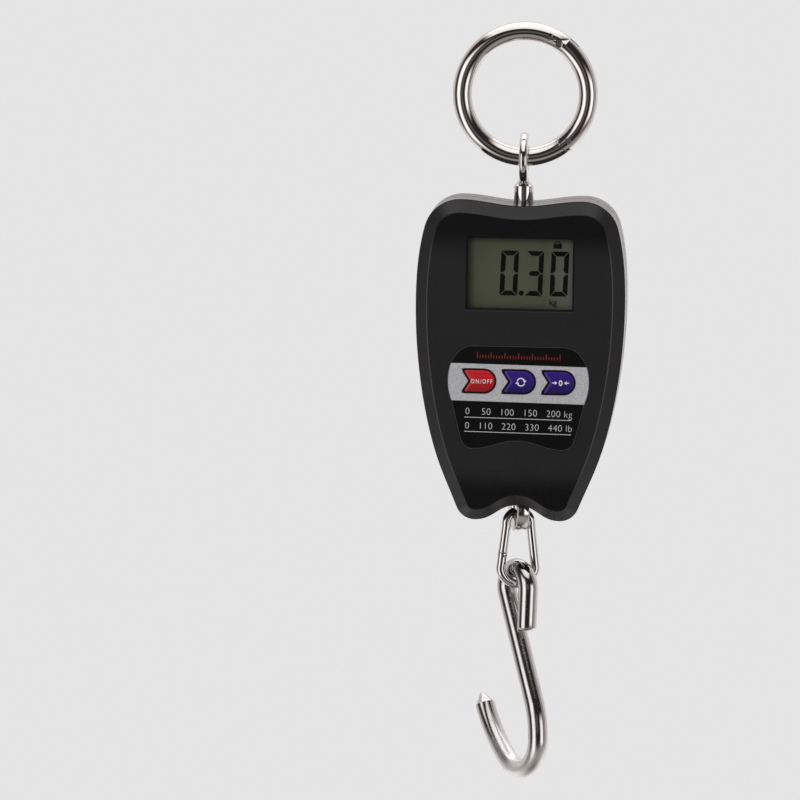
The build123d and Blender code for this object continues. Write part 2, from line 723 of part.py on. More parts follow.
with BuildPart() as front_shell:
    add(shell_blank(front(0), seal_thickness / 2, front_wall_depth, front_bevel_depth, front_bevel_width, face_wall))
    # lip that enters the rear shell
    extrude(case_outline(rear(-lip_root - seal_thickness / 2), case_wall - embed), amount=lip_root)
    extrude(case_outline(rear(-lip_root), case_wall + lip_gap), amount=lip_root + lip_height)
    extrude(case_outline(rear(-front_wall_depth), case_wall + lip_gap + lip_thickness),
            amount=front_wall_depth + rear_wall_depth, mode=Mode.SUBTRACT)
    # bosses
    with BuildSketch(front(-seal_thickness / 2)):
        with Locations(case_screws_at):
            Circle(case_boss_diameter / 2)
    extrude(amount=-inner_face_y - seal_thickness / 2 + embed)
    with BuildSketch(front(board_y)):
        with Locations(board_screws_at):
            Circle(board_boss_diameter / 2)
    extrude(amount=board_y - inner_face_y + embed)
    # window
    add(rounded_box(front(rim_back_y), lens_width + 2 * part_gap + 2 * window_rim,
                    lens_height + 2 * part_gap + 2 * window_rim, window_rim_corner,
                    rim_back_y - inner_face_y + embed, window_z))
    add(rounded_box(front(rim_back_y), lens_width + 2 * part_gap, lens_height + 2 * part_gap,
                    lens_corner + part_gap, rim_back_y - lens_y, window_z), mode=Mode.SUBTRACT)
    with BuildSketch(rear(face_y)):
        with Locations((0, window_z)):
            Rectangle(window_width + 2 * window_bevel, window_height + 2 * window_bevel)
    extrude(amount=window_bevel, taper=45, mode=Mode.SUBTRACT)
    add(rounded_box(front(rim_back_y), window_width, window_height, window_corner, front_wall_depth, window_z),
        mode=Mode.SUBTRACT)
    # label and keys
    extrude(label_outline(rear(face_y), part_gap), amount=label_recess, mode=Mode.SUBTRACT)
    extrude(key_outlines(front(0), key_places.values(), key_gap), amount=front_wall_depth * 2, mode=Mode.SUBTRACT)
    # holes
    with BuildSketch(front(-seal_thickness / 2)):
        with Locations(case_screws_at):
            Circle(case_screw / 2 + screw_gap)
    extrude(amount=case_screw_bite + case_screw_hole_rest, mode=Mode.SUBTRACT)
    with BuildSketch(front(board_y)):
        with Locations(board_screws_at):
            Circle(screw_m2 / 2 + screw_gap)
    extrude(amount=board_screw_bite + board_screw_hole_rest, mode=Mode.SUBTRACT)
    add(bolt_ways.part, mode=Mode.SUBTRACT)
front_shell.part.label = "front_shell"

door_height = door_top_z - door_bottom_z
door_middle_z = (door_top_z + door_bottom_z) / 2
inner_back_y = back_y - case_wall
screw_seat_y = back_y - screw_head_sink
bay_floor_y = battery_y - bay_half
tab_y = inner_back_y - door_tab_gap - door_tab_thickness
tab_low_z = door_axis_z - door_tab_reach
tab_swing = hypot(door_tab_foot, door_axis_y - tab_y) + moving_gap

with BuildPart() as rear_shell:
    add(shell_blank(rear(0), seal_thickness / 2, rear_wall_depth, rear_bevel_depth, rear_bevel_width, case_wall))
    # floor under the battery door and the two battery bays
    with BuildSketch(rear(floor_y)):
        with Locations((0, door_middle_z)):
            Rectangle(2 * door_half + 2 * door_floor, door_height + 2 * door_floor)
    extrude(amount=inner_back_y - floor_y + embed)
    with BuildSketch(rear(bay_floor_y - bay_wall)):
        with Locations((-cell_x, battery_z), (cell_x, battery_z)):
            Rectangle(2 * bay_half + 2 * bay_wall, bay_inner_length + 2 * bay_wall)
    extrude(amount=inner_back_y - bay_floor_y + bay_wall + embed)
    with BuildSketch(rear(seal_thickness / 2)):
        with Locations(case_screws_at):
            Circle(case_boss_diameter / 2)
    extrude(amount=inner_back_y - seal_thickness / 2 + embed)
    # recess, bays, tab pockets
    with BuildSketch(rear(door_y - part_gap)):
        with Locations((0, door_middle_z - (moving_gap - part_gap) / 2)):
            Rectangle(2 * door_half + 2 * part_gap, door_height + part_gap + moving_gap)
    extrude(amount=rear_bevel_depth, mode=Mode.SUBTRACT)
    with BuildSketch(rear(bay_floor_y)):
        with Locations((-cell_x, battery_z), (cell_x, battery_z)):
            Rectangle(2 * bay_half, bay_inner_length)
    extrude(amount=rear_wall_depth + rear_bevel_depth, mode=Mode.SUBTRACT)
    with BuildSketch(rear(bay_floor_y)):
        with Locations((-door_tab_x, door_axis_z), (door_tab_x, door_axis_z)):
            Rectangle(door_tab_width + 2 * moving_gap, 2 * (door_tab_reach + moving_gap))
    extrude(amount=inner_back_y - bay_floor_y, mode=Mode.SUBTRACT)
    with BuildSketch(rear(door_y - part_gap)):
        with Locations((-door_tab_x, door_axis_z), (door_tab_x, door_axis_z)):
            Rectangle(door_tab_width + 2 * moving_gap, tab_swing, align=(Align.CENTER, Align.MIN))
    extrude(amount=inner_back_y - door_y + part_gap, mode=Mode.SUBTRACT)
    with BuildSketch(Plane.XY.offset(bay_top_z)):
        with Locations((-cell_x, battery_y + contact_tab_y), (cell_x, battery_y + contact_tab_y)):
            Rectangle(contact_tab + 2 * screw_gap, contact_thickness + 2 * screw_gap)
    extrude(amount=2 * bay_wall, mode=Mode.SUBTRACT)
    # screw holes
    with BuildSketch(rear(0)):
        with Locations(case_screws_at):
            Circle(case_screw / 2 + part_gap)
    extrude(amount=back_y, mode=Mode.SUBTRACT)
    with BuildSketch(rear(screw_seat_y)):
        with Locations(case_screws_at):
            Circle(case_screw_head / 2 + part_gap)
    extrude(amount=back_y, mode=Mode.SUBTRACT)
    add(bolt_ways.part, mode=Mode.SUBTRACT)
rear_shell.part.label = "rear_shell"

with BuildPart() as case_seal:
    extrude(case_outline(rear(-seal_thickness / 2), seal_inset), amount=seal_thickness)
    extrude(case_outline(rear(-seal_thickness), seal_inset + seal_width), amount=2 * seal_thickness,
            mode=Mode.SUBTRACT)
    add(bolt_ways.part, mode=Mode.SUBTRACT)
case_seal.part.label = "case_seal"

with BuildPart() as case_screws:
    with BuildSketch(front(screw_seat_y)):
        with Locations(case_screws_at):
            Circle(case_screw / 2)
    extrude(amount=screw_seat_y + case_screw_bite)
    with BuildSketch(rear(screw_seat_y)):
        with Locations(case_screws_at):
            Circle(case_screw_head / 2)
    extrude(amount=case_screw_head_height)
    with BuildSketch(front(screw_seat_y + case_screw_head_height)):
        with Locations(case_screws_at):
            Rectangle(cross_length, cross_width)
            Rectangle(cross_width, cross_length)
    extrude(amount=cross_depth, mode=Mode.SUBTRACT)
case_screws.part.label = "case_screws"


# ================================================================ display
lens_size = (lens_width, lens_height)
glass_size = (lens_width - 2 * glass_inset, lens_height - 2 * glass_inset)
glass_back_y = glass_y + glass_thickness
light_y = glass_back_y + contact_gap

with BuildPart() as lcd_lens:
    add(rounded_box(front(lens_y + lens_thickness), *lens_size, lens_corner, lens_thickness, window_z))
lcd_lens.part.label = "lcd_lens"

with BuildPart() as lcd_glass:
    add(rounded_box(front(glass_back_y), *glass_size, glass_corner, glass_thickness, window_z))
lcd_glass.part.label = "lcd_glass"

with BuildPart() as lcd_back_light:
    add(rounded_box(front(light_y + back_light_thickness), glass_size[0] - 2 * back_light_side,
                    glass_size[1] - 2 * back_light_margin, back_light_corner, back_light_thickness, window_z))
lcd_back_light.part.label = "lcd_back_light"

with BuildPart() as lcd_holder:
    holder_depth = board_y - rim_back_y - part_gap
    add(rounded_box(front(board_y), glass_size[0] + 2 * part_gap + 2 * holder_wall,
                    glass_size[1] + 2 * part_gap + 2 * holder_wall, holder_corner, holder_depth, window_z))
    add(rounded_box(front(board_y), glass_size[0] + 2 * part_gap, glass_size[1] + 2 * part_gap,
                    glass_corner + part_gap, holder_depth, window_z), mode=Mode.SUBTRACT)
lcd_holder.part.label = "lcd_holder"

with BuildPart() as contact_strip:
    add(rounded_box(front(board_y), glass_size[0] - 2 * strip_margin, strip_height, strip_corner,
                    board_y - glass_back_y, window_z - glass_size[1] / 2 + strip_height / 2 + glass_inset))
contact_strip.part.label = "contact_strip"


# ================================================================ board
board_back_y = board_y + board_thickness
with BuildPart() as main_board:
    add(rounded_box(front(board_back_y), board_width, board_height, board_corner, board_thickness,
                    board_z))
    with BuildSketch(front(board_back_y)):
        with Locations(board_screws_at):
            Circle(screw_m2 / 2 + part_gap)
    extrude(amount=board_thickness, mode=Mode.SUBTRACT)
main_board.part.label = "main_board"

with BuildPart() as board_screws:
    with BuildSketch(front(board_back_y)):
        with Locations(board_screws_at):
            Circle(screw_m2 / 2)
    extrude(amount=board_thickness + board_screw_bite)
    with BuildSketch(rear(board_back_y)):
        with Locations([(-x, z) for x, z in board_screws_at]):
            Circle(screw_m2_head / 2)
    extrude(amount=screw_m2_head_height)
board_screws.part.label = "board_screws"

with BuildPart() as key_switches:
    with BuildSketch(front(board_y)):
        with Locations([(x, keys_z) for x in key_places.values()]):
            Rectangle(switch_size, switch_size)
    extrude(amount=switch_height)
    with BuildSketch(front(board_y - switch_floor)):
        with Locations([(x, keys_z) for x in key_places.values()]):
            Circle(switch_plunger / 2 + running_gap)
    extrude(amount=switch_height, mode=Mode.SUBTRACT)
key_switches.part.label = "key_switches"

with BuildPart() as controller_chip:
    with BuildSketch(rear(board_back_y)):
        with Locations((-chip_x, window_z)):
            Rectangle(chip_width, chip_width)
    extrude(amount=chip_height)
controller_chip.part.label = "controller_chip"

component_places = [(x, window_z - component_top - row * component_pitch)
                    for row in range(component_rows) for x in component_x]
with BuildPart() as board_components:
    with BuildSketch(rear(board_back_y)):
        with Locations(component_places):
            Rectangle(component_length, component_width)
        with Locations((-sounder_x, window_z)):
            Circle(sounder_diameter / 2)
    extrude(amount=component_height)
board_components.part.label = "board_components"

with BuildPart() as gauge_leads:
    for side in (-1, 1):
        for row in (-1, 1):
            lead_x = side * (cell_width / 2 + gauge_thickness)
            lead_z = cell_middle_z + row * cell_window_pitch / 2
            with BuildLine() as gauge_lead:
                FilletPolyline((lead_x, gauge_lead_y, lead_z), (lead_x + side * gauge_lead_reach, gauge_lead_y, lead_z),
                               (lead_x + side * gauge_lead_reach, board_back_y, lead_z), radius=lead_bend)
            with BuildSketch(Plane(origin=gauge_lead.line @ 0, z_dir=gauge_lead.line % 0)):
                Circle(lead_diameter / 2)
            sweep(path=gauge_lead.line)
gauge_leads.part.label = "gauge_leads"

# ================================================================ label and keys
with BuildPart() as label_sheet:
    extrude(label_outline(front(face_y + label_recess)), amount=label_thickness)
    extrude(key_outlines(front(0), key_places.values(), key_gap), amount=-2 * face_y, mode=Mode.SUBTRACT)
label_sheet.part.label = "label_sheet"

key_back_y = board_y - switch_height - plunger_reach
key_front_y = face_y - key_proud


def make_key(place):
    """Key with a flange behind the face of the case."""
    with BuildPart() as key:
        extrude(key_outlines(front(key_back_y), [place]), amount=key_back_y - key_front_y)
        fillet(key.faces().sort_by(Axis.Y)[0].edges(), key_edge_round)
        extrude(key_outlines(front(key_back_y), [place], key_gap + key_flange_margin), amount=key_flange)
    return key


def make_plunger(place):
    """Round plunger between a key and its switch."""
    with BuildPart() as plunger:
        with BuildSketch(front(board_y - switch_height + switch_sink)):
            with Locations((place, keys_z)):
                Circle(switch_plunger / 2)
        extrude(amount=plunger_reach + switch_sink)
    return plunger


key_on_off = make_key(key_places["on_off"])
key_on_off.part.label = "key_on_off"
key_unit = make_key(key_places["unit"])
key_unit.part.label = "key_unit"
key_zero = make_key(key_places["zero"])
key_zero.part.label = "key_zero"
plunger_on_off = make_plunger(key_places["on_off"])
plunger_on_off.part.label = "plunger_on_off"
plunger_unit = make_plunger(key_places["unit"])
plunger_unit.part.label = "plunger_unit"
plunger_zero = make_plunger(key_places["zero"])
plunger_zero.part.label = "plunger_zero"


# ================================================================ batteries and door
def battery(x, up):
    """Round cell on its long axis; up is 1 where its raised end is at the top."""
    low_z = bay_bottom_z + (spring_space if up > 0 else contact_thickness)
    body_z = low_z + (0 if up > 0 else cell_nub)
    with BuildPart() as battery_cell:
        with BuildSketch(Plane.XY.offset(body_z)):
            with Locations((x, battery_y)):
                Circle(cell_diameter / 2)
        extrude(amount=cell_length - cell_nub)
        fillet(battery_cell.edges().filter_by(GeomType.CIRCLE), cell_edge_round)
        with BuildSketch(Plane.XY.offset(low_z)):
            with Locations((x, battery_y)):
                Circle(cell_nub_diameter / 2)
        extrude(amount=cell_length if up > 0 else cell_nub + cell_edge_round)
    return battery_cell


battery_left = battery(-cell_x, 1)
battery_left.part.label = "battery_left"
battery_right = battery(cell_x, -1)
battery_right.part.label = "battery_right"

with BuildPart() as battery_contacts:
    for x in (-cell_x, cell_x):
        for z in (bay_top_z - contact_thickness / 2, bay_bottom_z + contact_thickness / 2):
            with Locations((x, battery_y, z)):
                Box(contact_width, contact_width, contact_thickness)
    with BuildSketch(Plane.XY.offset(bay_top_z - contact_thickness)):
        with Locations((-cell_x, battery_y + contact_tab_y), (cell_x, battery_y + contact_tab_y)):
            Rectangle(contact_tab, contact_thickness)
    extrude(amount=contact_thickness + bay_wall + contact_tab_out)
battery_contacts.part.label = "battery_contacts"

lead_start_z = bay_top_z + bay_wall + contact_tab_out
with BuildPart() as battery_leads:
    for x in (-cell_x, cell_x):
        with BuildLine() as battery_lead:
            FilletPolyline((x, battery_y + contact_tab_y, lead_start_z),
                           (x, battery_y + contact_tab_y, lead_start_z + battery_lead_rise),
                           (x, board_back_y, lead_start_z + battery_lead_rise), radius=lead_bend)
        with BuildSketch(Plane(origin=battery_lead.line @ 0, z_dir=battery_lead.line % 0)):
            Circle(lead_diameter / 2)
        sweep(path=battery_lead.line)
battery_leads.part.label = "battery_leads"

battery_spring_length = spring_space - contact_thickness
spring_radius = (spring_diameter - spring_wire) / 2
left_spring = coil(Plane(origin=(-cell_x, battery_y, bay_bottom_z + contact_thickness)), spring_radius, spring_wire,
                   battery_spring_length, spring_turns)
right_spring = coil(Plane(origin=(cell_x, battery_y, bay_top_z - contact_thickness), z_dir=(0, 0, -1)),
                    spring_radius, spring_wire, battery_spring_length, spring_turns)
with BuildPart() as battery_springs:
    add(left_spring.part)
    add(right_spring.part)
battery_springs.part.label = "battery_springs"

with BuildPart() as battery_door:
    with BuildSketch(rear(door_y)):
        with Locations((0, door_middle_z)):
            Rectangle(2 * door_half, door_height)
    extrude(amount=door_thickness)
    fillet(battery_door.edges().group_by(Axis.Z)[0].filter_by(Axis.X), door_thickness / 2 - 0.01)
    with BuildSketch(rear(tab_y)):
        with Locations((-door_tab_x, tab_low_z), (door_tab_x, tab_low_z)):
            Rectangle(door_tab_width, door_tab_reach + door_tab_foot, align=(Align.CENTER, Align.MIN))
    extrude(amount=door_tab_thickness)
    with BuildSketch(rear(tab_y)):
        with Locations((-door_tab_x, door_axis_z), (door_tab_x, door_axis_z)):
            Rectangle(door_tab_width, door_tab_foot, align=(Align.CENTER, Align.MIN))
    extrude(amount=door_y - tab_y + door_tab_root)
    # finger grip near the upper edge
    with BuildSketch(rear(back_y)):
        with Locations([(0, door_top_z - grip_below_edge - grip_pitch * row) for row in range(grip_rows)]):
            SlotOverall(grip_length, grip_width)
    extrude(amount=-grip_depth, mode=Mode.SUBTRACT)
battery_door.part.label = "battery_door"


# ================================================================ link and hook
link_radius = (link_width - link_wire) / 2
link_straight = link_pitch - link_radius - link_top_radius
link_slant = degrees(asin((link_radius - link_top_radius) / link_straight))
link_plane = turned(lower_turn, lower_pivot_z)
with BuildLine(link_plane) as link_route:
    upper_end = CenterArc((0, -link_top_radius), link_top_radius, -link_slant, 180 + 2 * link_slant)
    lower_end = CenterArc((0, link_radius - link_pitch), link_radius, 180 + link_slant, 180 - 2 * link_slant)
    left_leg = Line(upper_end @ 1, lower_end @ 0)
    Line(lower_end @ 1, upper_end @ 0)
weld_share = (weld_drop - link_top_radius) / link_straight
with BuildPart() as weld_bead:
    with Locations(Plane(origin=left_leg @ weld_share, z_dir=left_leg % weld_share)):
        Cylinder(weld_diameter / 2, weld_length)
    fillet(weld_bead.edges().filter_by(GeomType.CIRCLE), weld_edge_round)

with BuildPart() as chain_link:
    with BuildSketch(Plane(origin=link_plane.from_local_coords((0, 0, 0)), z_dir=link_plane.x_dir)):
        Circle(link_wire / 2)
    sweep(path=link_route.wire())
    add(weld_bead.part)
chain_link.part.label = "chain_link"

slope = radians(hook_shank_slope)
eye_rise = hook_pivot_lift - hook_eye_radius
shank_bend = ((-hook_eye_radius + eye_rise * sin(slope) - (hook_saddle_x + hook_saddle_radius) * cos(slope)
               + hook_saddle_drop * sin(slope)) / (1 - cos(slope)))
bend_x = hook_saddle_x + hook_saddle_radius - shank_bend
hook_plane = turned(-hook_turn, link_bottom_z, hook_lean)
with BuildPart() as hook:
    with BuildLine(hook_plane):
        leg = Line((hook_eye_radius, -hook_leg_drop), (hook_eye_radius, eye_rise))
        loop = CenterArc((0, eye_rise), hook_eye_radius, 0, 180 + hook_shank_slope)
        bend = CenterArc((bend_x, -hook_saddle_drop), shank_bend, hook_shank_slope, -hook_shank_slope)
        shank = Line(loop @ 1, bend @ 0)
        saddle = CenterArc((hook_saddle_x, -hook_saddle_drop), hook_saddle_radius, 0, -90 - hook_saddle_end)
        arm = TangentArc(saddle @ 1, (hook_tip_x, -hook_tip_drop), tangent=saddle % 1)
    with BuildSketch(Plane(origin=leg @ 0, z_dir=leg % 0)):
        Circle(hook_bar / 2)
    sweep()
    fillet(hook.faces().sort_by_distance(leg @ 0)[0].edges(), hook_leg_round)
    with Locations(Plane(origin=arm @ 1, z_dir=arm % 1)):
        Cone(hook_bar / 2, hook_cone_end, hook_cone, align=(Align.CENTER, Align.CENTER, Align.MIN))
hook.part.label = "hook"

# ================================================================ files
os.makedirs("parts", exist_ok=True)
export_step(ring_body.part, "parts/ring_body.step")
export_step(ring_gate.part, "parts/ring_gate.step")
export_step(gate_rivet.part, "parts/gate_rivet.step")
export_step(latch_pin.part, "parts/latch_pin.step")
export_step(gate_plunger.part, "parts/gate_plunger.step")
export_step(gate_spring.part, "parts/gate_spring.step")
export_step(upper_eye_bolt.part, "parts/upper_eye_bolt.step")
export_step(lower_eye_bolt.part, "parts/lower_eye_bolt.step")
export_step(upper_lock_nut.part, "parts/upper_lock_nut.step")
export_step(lower_lock_nut.part, "parts/lower_lock_nut.step")
export_step(load_cell.part, "parts/load_cell.step")
export_step(strain_gauges.part, "parts/strain_gauges.step")
export_step(gauge_leads.part, "parts/gauge_leads.step")
export_step(front_shell.part, "parts/front_shell.step")
export_step(rear_shell.part, "parts/rear_shell.step")
export_step(case_seal.part, "parts/case_seal.step")
export_step(case_screws.part, "parts/case_screws.step")
export_step(lcd_lens.part, "parts/lcd_lens.step")
export_step(lcd_glass.part, "parts/lcd_glass.step")
export_step(lcd_back_light.part, "parts/lcd_back_light.step")
export_step(lcd_holder.part, "parts/lcd_holder.step")
export_step(contact_strip.part, "parts/contact_strip.step")
export_step(main_board.part, "parts/main_board.step")
export_step(board_screws.part, "parts/board_screws.step")
export_step(key_switches.part, "parts/key_switches.step")
export_step(controller_chip.part, "parts/controller_chip.step")
export_step(board_components.part, "parts/board_components.step")
export_step(label_sheet.part, "parts/label_sheet.step")
export_step(key_on_off.part, "parts/key_on_off.step")
export_step(key_unit.part, "parts/key_unit.step")
export_step(key_zero.part, "parts/key_zero.step")
export_step(plunger_on_off.part, "parts/plunger_on_off.step")
export_step(plunger_unit.part, "parts/plunger_unit.step")
export_step(plunger_zero.part, "parts/plunger_zero.step")
export_step(battery_left.part, "parts/battery_left.step")
export_step(battery_right.part, "parts/battery_right.step")
export_step(battery_contacts.part, "parts/battery_contacts.step")
export_step(battery_leads.part, "parts/battery_leads.step")
export_step(battery_springs.part, "parts/battery_springs.step")
export_step(battery_door.part, "parts/battery_door.step")
export_step(chain_link.part, "parts/chain_link.step")
export_step(hook.part, "parts/hook.step")
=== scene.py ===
import math

import bmesh
import bpy
from mathutils import Matrix, Vector


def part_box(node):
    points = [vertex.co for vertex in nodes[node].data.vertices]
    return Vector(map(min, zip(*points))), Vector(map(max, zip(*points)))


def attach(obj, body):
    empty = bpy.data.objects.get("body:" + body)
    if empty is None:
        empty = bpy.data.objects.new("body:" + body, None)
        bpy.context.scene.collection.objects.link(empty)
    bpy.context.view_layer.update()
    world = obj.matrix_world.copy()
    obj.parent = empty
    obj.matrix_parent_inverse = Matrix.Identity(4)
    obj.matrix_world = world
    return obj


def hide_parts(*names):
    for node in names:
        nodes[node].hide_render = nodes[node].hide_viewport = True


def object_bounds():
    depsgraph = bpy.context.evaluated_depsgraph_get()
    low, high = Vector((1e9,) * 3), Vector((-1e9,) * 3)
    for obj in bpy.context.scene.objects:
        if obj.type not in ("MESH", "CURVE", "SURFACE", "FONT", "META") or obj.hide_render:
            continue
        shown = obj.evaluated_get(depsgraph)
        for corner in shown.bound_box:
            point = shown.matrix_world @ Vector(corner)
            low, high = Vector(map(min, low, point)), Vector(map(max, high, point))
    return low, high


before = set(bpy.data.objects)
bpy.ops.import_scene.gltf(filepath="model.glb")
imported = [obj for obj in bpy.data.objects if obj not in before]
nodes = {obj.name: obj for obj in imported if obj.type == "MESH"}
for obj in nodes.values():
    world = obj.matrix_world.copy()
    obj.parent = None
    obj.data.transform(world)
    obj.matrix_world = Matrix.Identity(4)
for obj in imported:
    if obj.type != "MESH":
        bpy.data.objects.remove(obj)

# A hanging scale, dressed on its solids. Metres, X right, -Y towards the display and keys, Z up.
cad_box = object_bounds()
scene = bpy.context.scene


# -------- sizes from the solids
def front_box(name):
    """Lowest and highest corners of a node's front face."""
    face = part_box(name)[0].y
    front = [v.co for v in nodes[name].data.vertices if v.co.y < face + 0.0001]
    return tuple(Vector([pick(v[i] for v in front) for i in range(3)]) for pick in (min, max))


glass_low, glass_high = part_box("lcd_glass")
window_z = (glass_low.z + glass_high.z) / 2
unit_low, unit_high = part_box("key_unit")
keys_z = (unit_low.z + unit_high.z) / 2
key_face = unit_low.y
key_notch = 0.0026                  # depth of the notch at the left of each key
label_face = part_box("label_sheet")[0].y
label_turn = math.radians(0.65)     # the print stands turned on the case by this much
ring_heart = Vector((0.0, 0.0, -0.019))
ring_radius, ring_half_bar = 0.0224, 0.0034
sign_depth, print_depth = 0.00003, 0.00004      # thickness of the ink on keys and display, and on the label


# -------- node trees
class Shade:
    """A value in a node tree that sums and products can be written with."""

    def __init__(self, wiring, socket):
        self.wiring = wiring
        self.socket = socket

    def maths(self, operation, other=None, turned=False):
        first, second = (other, self) if turned else (self, other)
        inputs = {0: first} if second is None else {0: first, 1: second}
        return self.wiring.node("ShaderNodeMath", {"operation": operation}, inputs)

    def __add__(self, other):
        return self.maths("ADD", other)

    def __radd__(self, other):
        return self.maths("ADD", other, True)

    def __sub__(self, other):
        return self.maths("SUBTRACT", other)

    def __rsub__(self, other):
        return self.maths("SUBTRACT", other, True)

    def __mul__(self, other):
        return self.maths("MULTIPLY", other)

    def __rmul__(self, other):
        return self.maths("MULTIPLY", other, True)

    def __truediv__(self, other):
        return self.maths("DIVIDE", other)

    def __gt__(self, other):
        return self.maths("GREATER_THAN", other)

    def __lt__(self, other):
        return self.maths("LESS_THAN", other)

    def __abs__(self):
        return self.maths("ABSOLUTE")


class Wiring:
    """A node tree built node by node."""

    def __init__(self, tree):
        self.tree = tree
        tree.nodes.clear()

    def node(self, kind, settings=None, inputs=None, out=0):
        made = self.tree.nodes.new(kind)
        for name, value in (settings or {}).items():
            setattr(made, name, value)
        for key, value in (inputs or {}).items():
            if isinstance(value, Shade):
                self.tree.links.new(value.socket, made.inputs[key])
            else:
                made.inputs[key].default_value = value
        return Shade(self, made.outputs[out] if len(made.outputs) else None)


class Finish(Wiring):
    """A material whose patterns are laid out in the object's own metres."""

    def __init__(self, name):
        self.material = bpy.data.materials.new(name)
        self.material.use_nodes = True
        super().__init__(self.material.node_tree)
        self.place = self.node("ShaderNodeTexCoord", out="Object")

    def stretched(self, scale, turn=(0.0, 0.0, 0.0)):
        return self.node("ShaderNodeMapping", None, {0: self.place, 2: turn, 3: scale})

    def noise(self, size, detail=2.0, rough=0.5, place=None):
        """Soft random value from 0 to 1 with lumps of a size in metres."""
        return self.node("ShaderNodeTexNoise", None,
                         {"Vector": place or self.place, "Scale": 1.0 / size, "Detail": detail, "Roughness": rough})

    def ramp(self, value, low, high, first=0.0, last=1.0):
        """Value between two limits brought to another range."""
        return self.node("ShaderNodeMapRange", {"clamp": True}, {0: value, 1: low, 2: high, 3: first, 4: last})

    def soft(self, value, low, high):
        """Smooth rise from 0 to 1 between two limits, which may be the wrong way round for a fall."""
        return self.node("ShaderNodeMapRange", {"interpolation_type": "SMOOTHSTEP"}, {0: value, 1: low, 2: high})

    def blend(self, first, last, factor):
        """Colour between two colours."""
        return self.node("ShaderNodeMix", {"data_type": "RGBA"}, {0: factor, 6: first, 7: last}, out=2)

    def part(self, axis):
        return self.node("ShaderNodeSeparateXYZ", None, {0: self.place}, out="XYZ".index(axis))

    def bump(self, height, distance, strength=1.0):
        return self.node("ShaderNodeBump", None, {"Height": height, "Distance": distance, "Strength": strength})

    def surface(self, **inputs):
        named = {key.replace("_", " "): value for key, value in inputs.items()}
        return self.shaded(self.node("ShaderNodeBsdfPrincipled", None, named))

    def shaded(self, shader):
        """The material, with a shader as its surface."""
        self.node("ShaderNodeOutputMaterial", None, {"Surface": shader})
        return self.material


def grey(value):
    return (value, value, value, 1.0)


# -------- finishes
def plating(name, tint, dull, gloss, pits, patch=0.0, worn_foot=None):
    """Nickel over steel: soft clouds, fine scratches, small pits, and a dull end below a height."""
    finish = Finish(name)
    cloud = finish.noise(0.006, 3.0)
    fine = finish.noise(0.0007, 2.0)
    scratch = finish.noise(0.0009, 3.0, 0.6, finish.stretched((1.0, 1.0, 0.12), (0.3, 0.5, 0.2)))
    pit = finish.ramp(finish.noise(0.0005, 1.0), 0.34, 0.26)
    warm = finish.ramp(finish.noise(0.004, 2.0), 0.52, 0.70)
    colour = finish.blend(tint, dull, cloud * 0.5 + warm * patch)
    roughness = gloss + 0.05 * cloud + 0.04 * finish.ramp(scratch, 0.55, 0.75) + 0.2 * patch * warm + pit * pits
    if worn_foot is not None:
        worn = finish.soft(finish.part("Z"), worn_foot, worn_foot - 0.008)
        roughness = roughness + 0.24 * worn
        colour = finish.blend(colour, (0.80, 0.78, 0.77, 1.0), worn * 0.8)
    height = fine * 0.2 + scratch * 0.2 - pit * (2.0 * pits)
    return finish.surface(Base_Color=colour, Metallic=1.0, Roughness=roughness,
                          Normal=finish.bump(height, 0.000006, 0.25))


def moulded(name, colour, light, roughness, grain, depth, dust=0.0):
    """Moulded plastic with a fine spark-eroded grain."""
    finish = Finish(name)
    fine = finish.noise(grain, 2.0, 0.6)
    broad = finish.noise(0.018, 3.0)
    speck = finish.ramp(finish.noise(0.0009, 1.0), 0.72, 0.76) * dust
    mottle = finish.blend(colour, light, fine * 0.5 + broad * 0.25 + speck)
    return finish.surface(Base_Color=mottle, Roughness=roughness + 0.10 * broad - 0.06 * fine,
                          Normal=finish.bump(fine, depth, 0.5))


def case_finish(name, wall_depth, face_depth, line_top, line_foot, window_half):
    """Black moulded case: painted shade where its front bevel starts, a painted highlight along the bevel's inner
    corner, and painted shade on the window's own bevel.

    The bevel starts at wall_depth in front of the joint line and ends at face_depth; the painted highlight runs down
    from line_top to line_foot. window_half is half the width and half the height of the window's own bevel.
    """
    finish = Finish(name)
    fine = finish.noise(0.00040, 3.0, 0.7)
    broad = finish.noise(0.018, 3.0)
    speck = finish.ramp(finish.noise(0.0008, 1.0), 0.66, 0.74)
    depth = finish.part("Y")
    # Painted shade: a dark line in the crease where the front bevel meets the wall, which is also made rougher.
    corner = finish.ramp(abs(depth + wall_depth), 0.00034, 0.00016)
    level = finish.part("Z")
    # Painted highlight: a pale line along the bevel's inner corner, from line_top down to line_foot.
    bevel_edge_highlight = (finish.ramp(abs(depth + (face_depth - 0.00017)), 0.00020, 0.00010)
              * finish.soft(level, line_top, line_top - 0.012) * finish.soft(level, line_foot, line_foot + 0.010))
    mottle = finish.blend((0.0010, 0.0010, 0.0013, 1.0), (0.0064, 0.0062, 0.0068, 1.0),
                          fine * 0.6 + broad * 0.2 + speck * 0.25)
    # Painted shade on the window's own bevel, which is also made rougher.
    window = ((abs(finish.part("X")) < window_half[0]) * (abs(level - window_z) < window_half[1])
              * (depth > 0.00008 - face_depth) * (depth < -wall_depth))
    wall = finish.ramp(depth, 0.0002 - wall_depth, 0.0005 - wall_depth)
    colour = finish.blend(finish.blend(mottle, grey(0.0006), corner), grey(0.055), bevel_edge_highlight)
    colour = finish.blend(colour, grey(0.0022), window * 0.9)
    rough = 0.30 + 0.10 * broad - 0.06 * fine + 0.4 * corner + 0.5 * window - 0.16 * wall
    return finish.surface(Base_Color=colour, Roughness=rough, Specular_IOR_Level=0.31,
                          Normal=finish.bump(fine, 0.00010, 0.7))


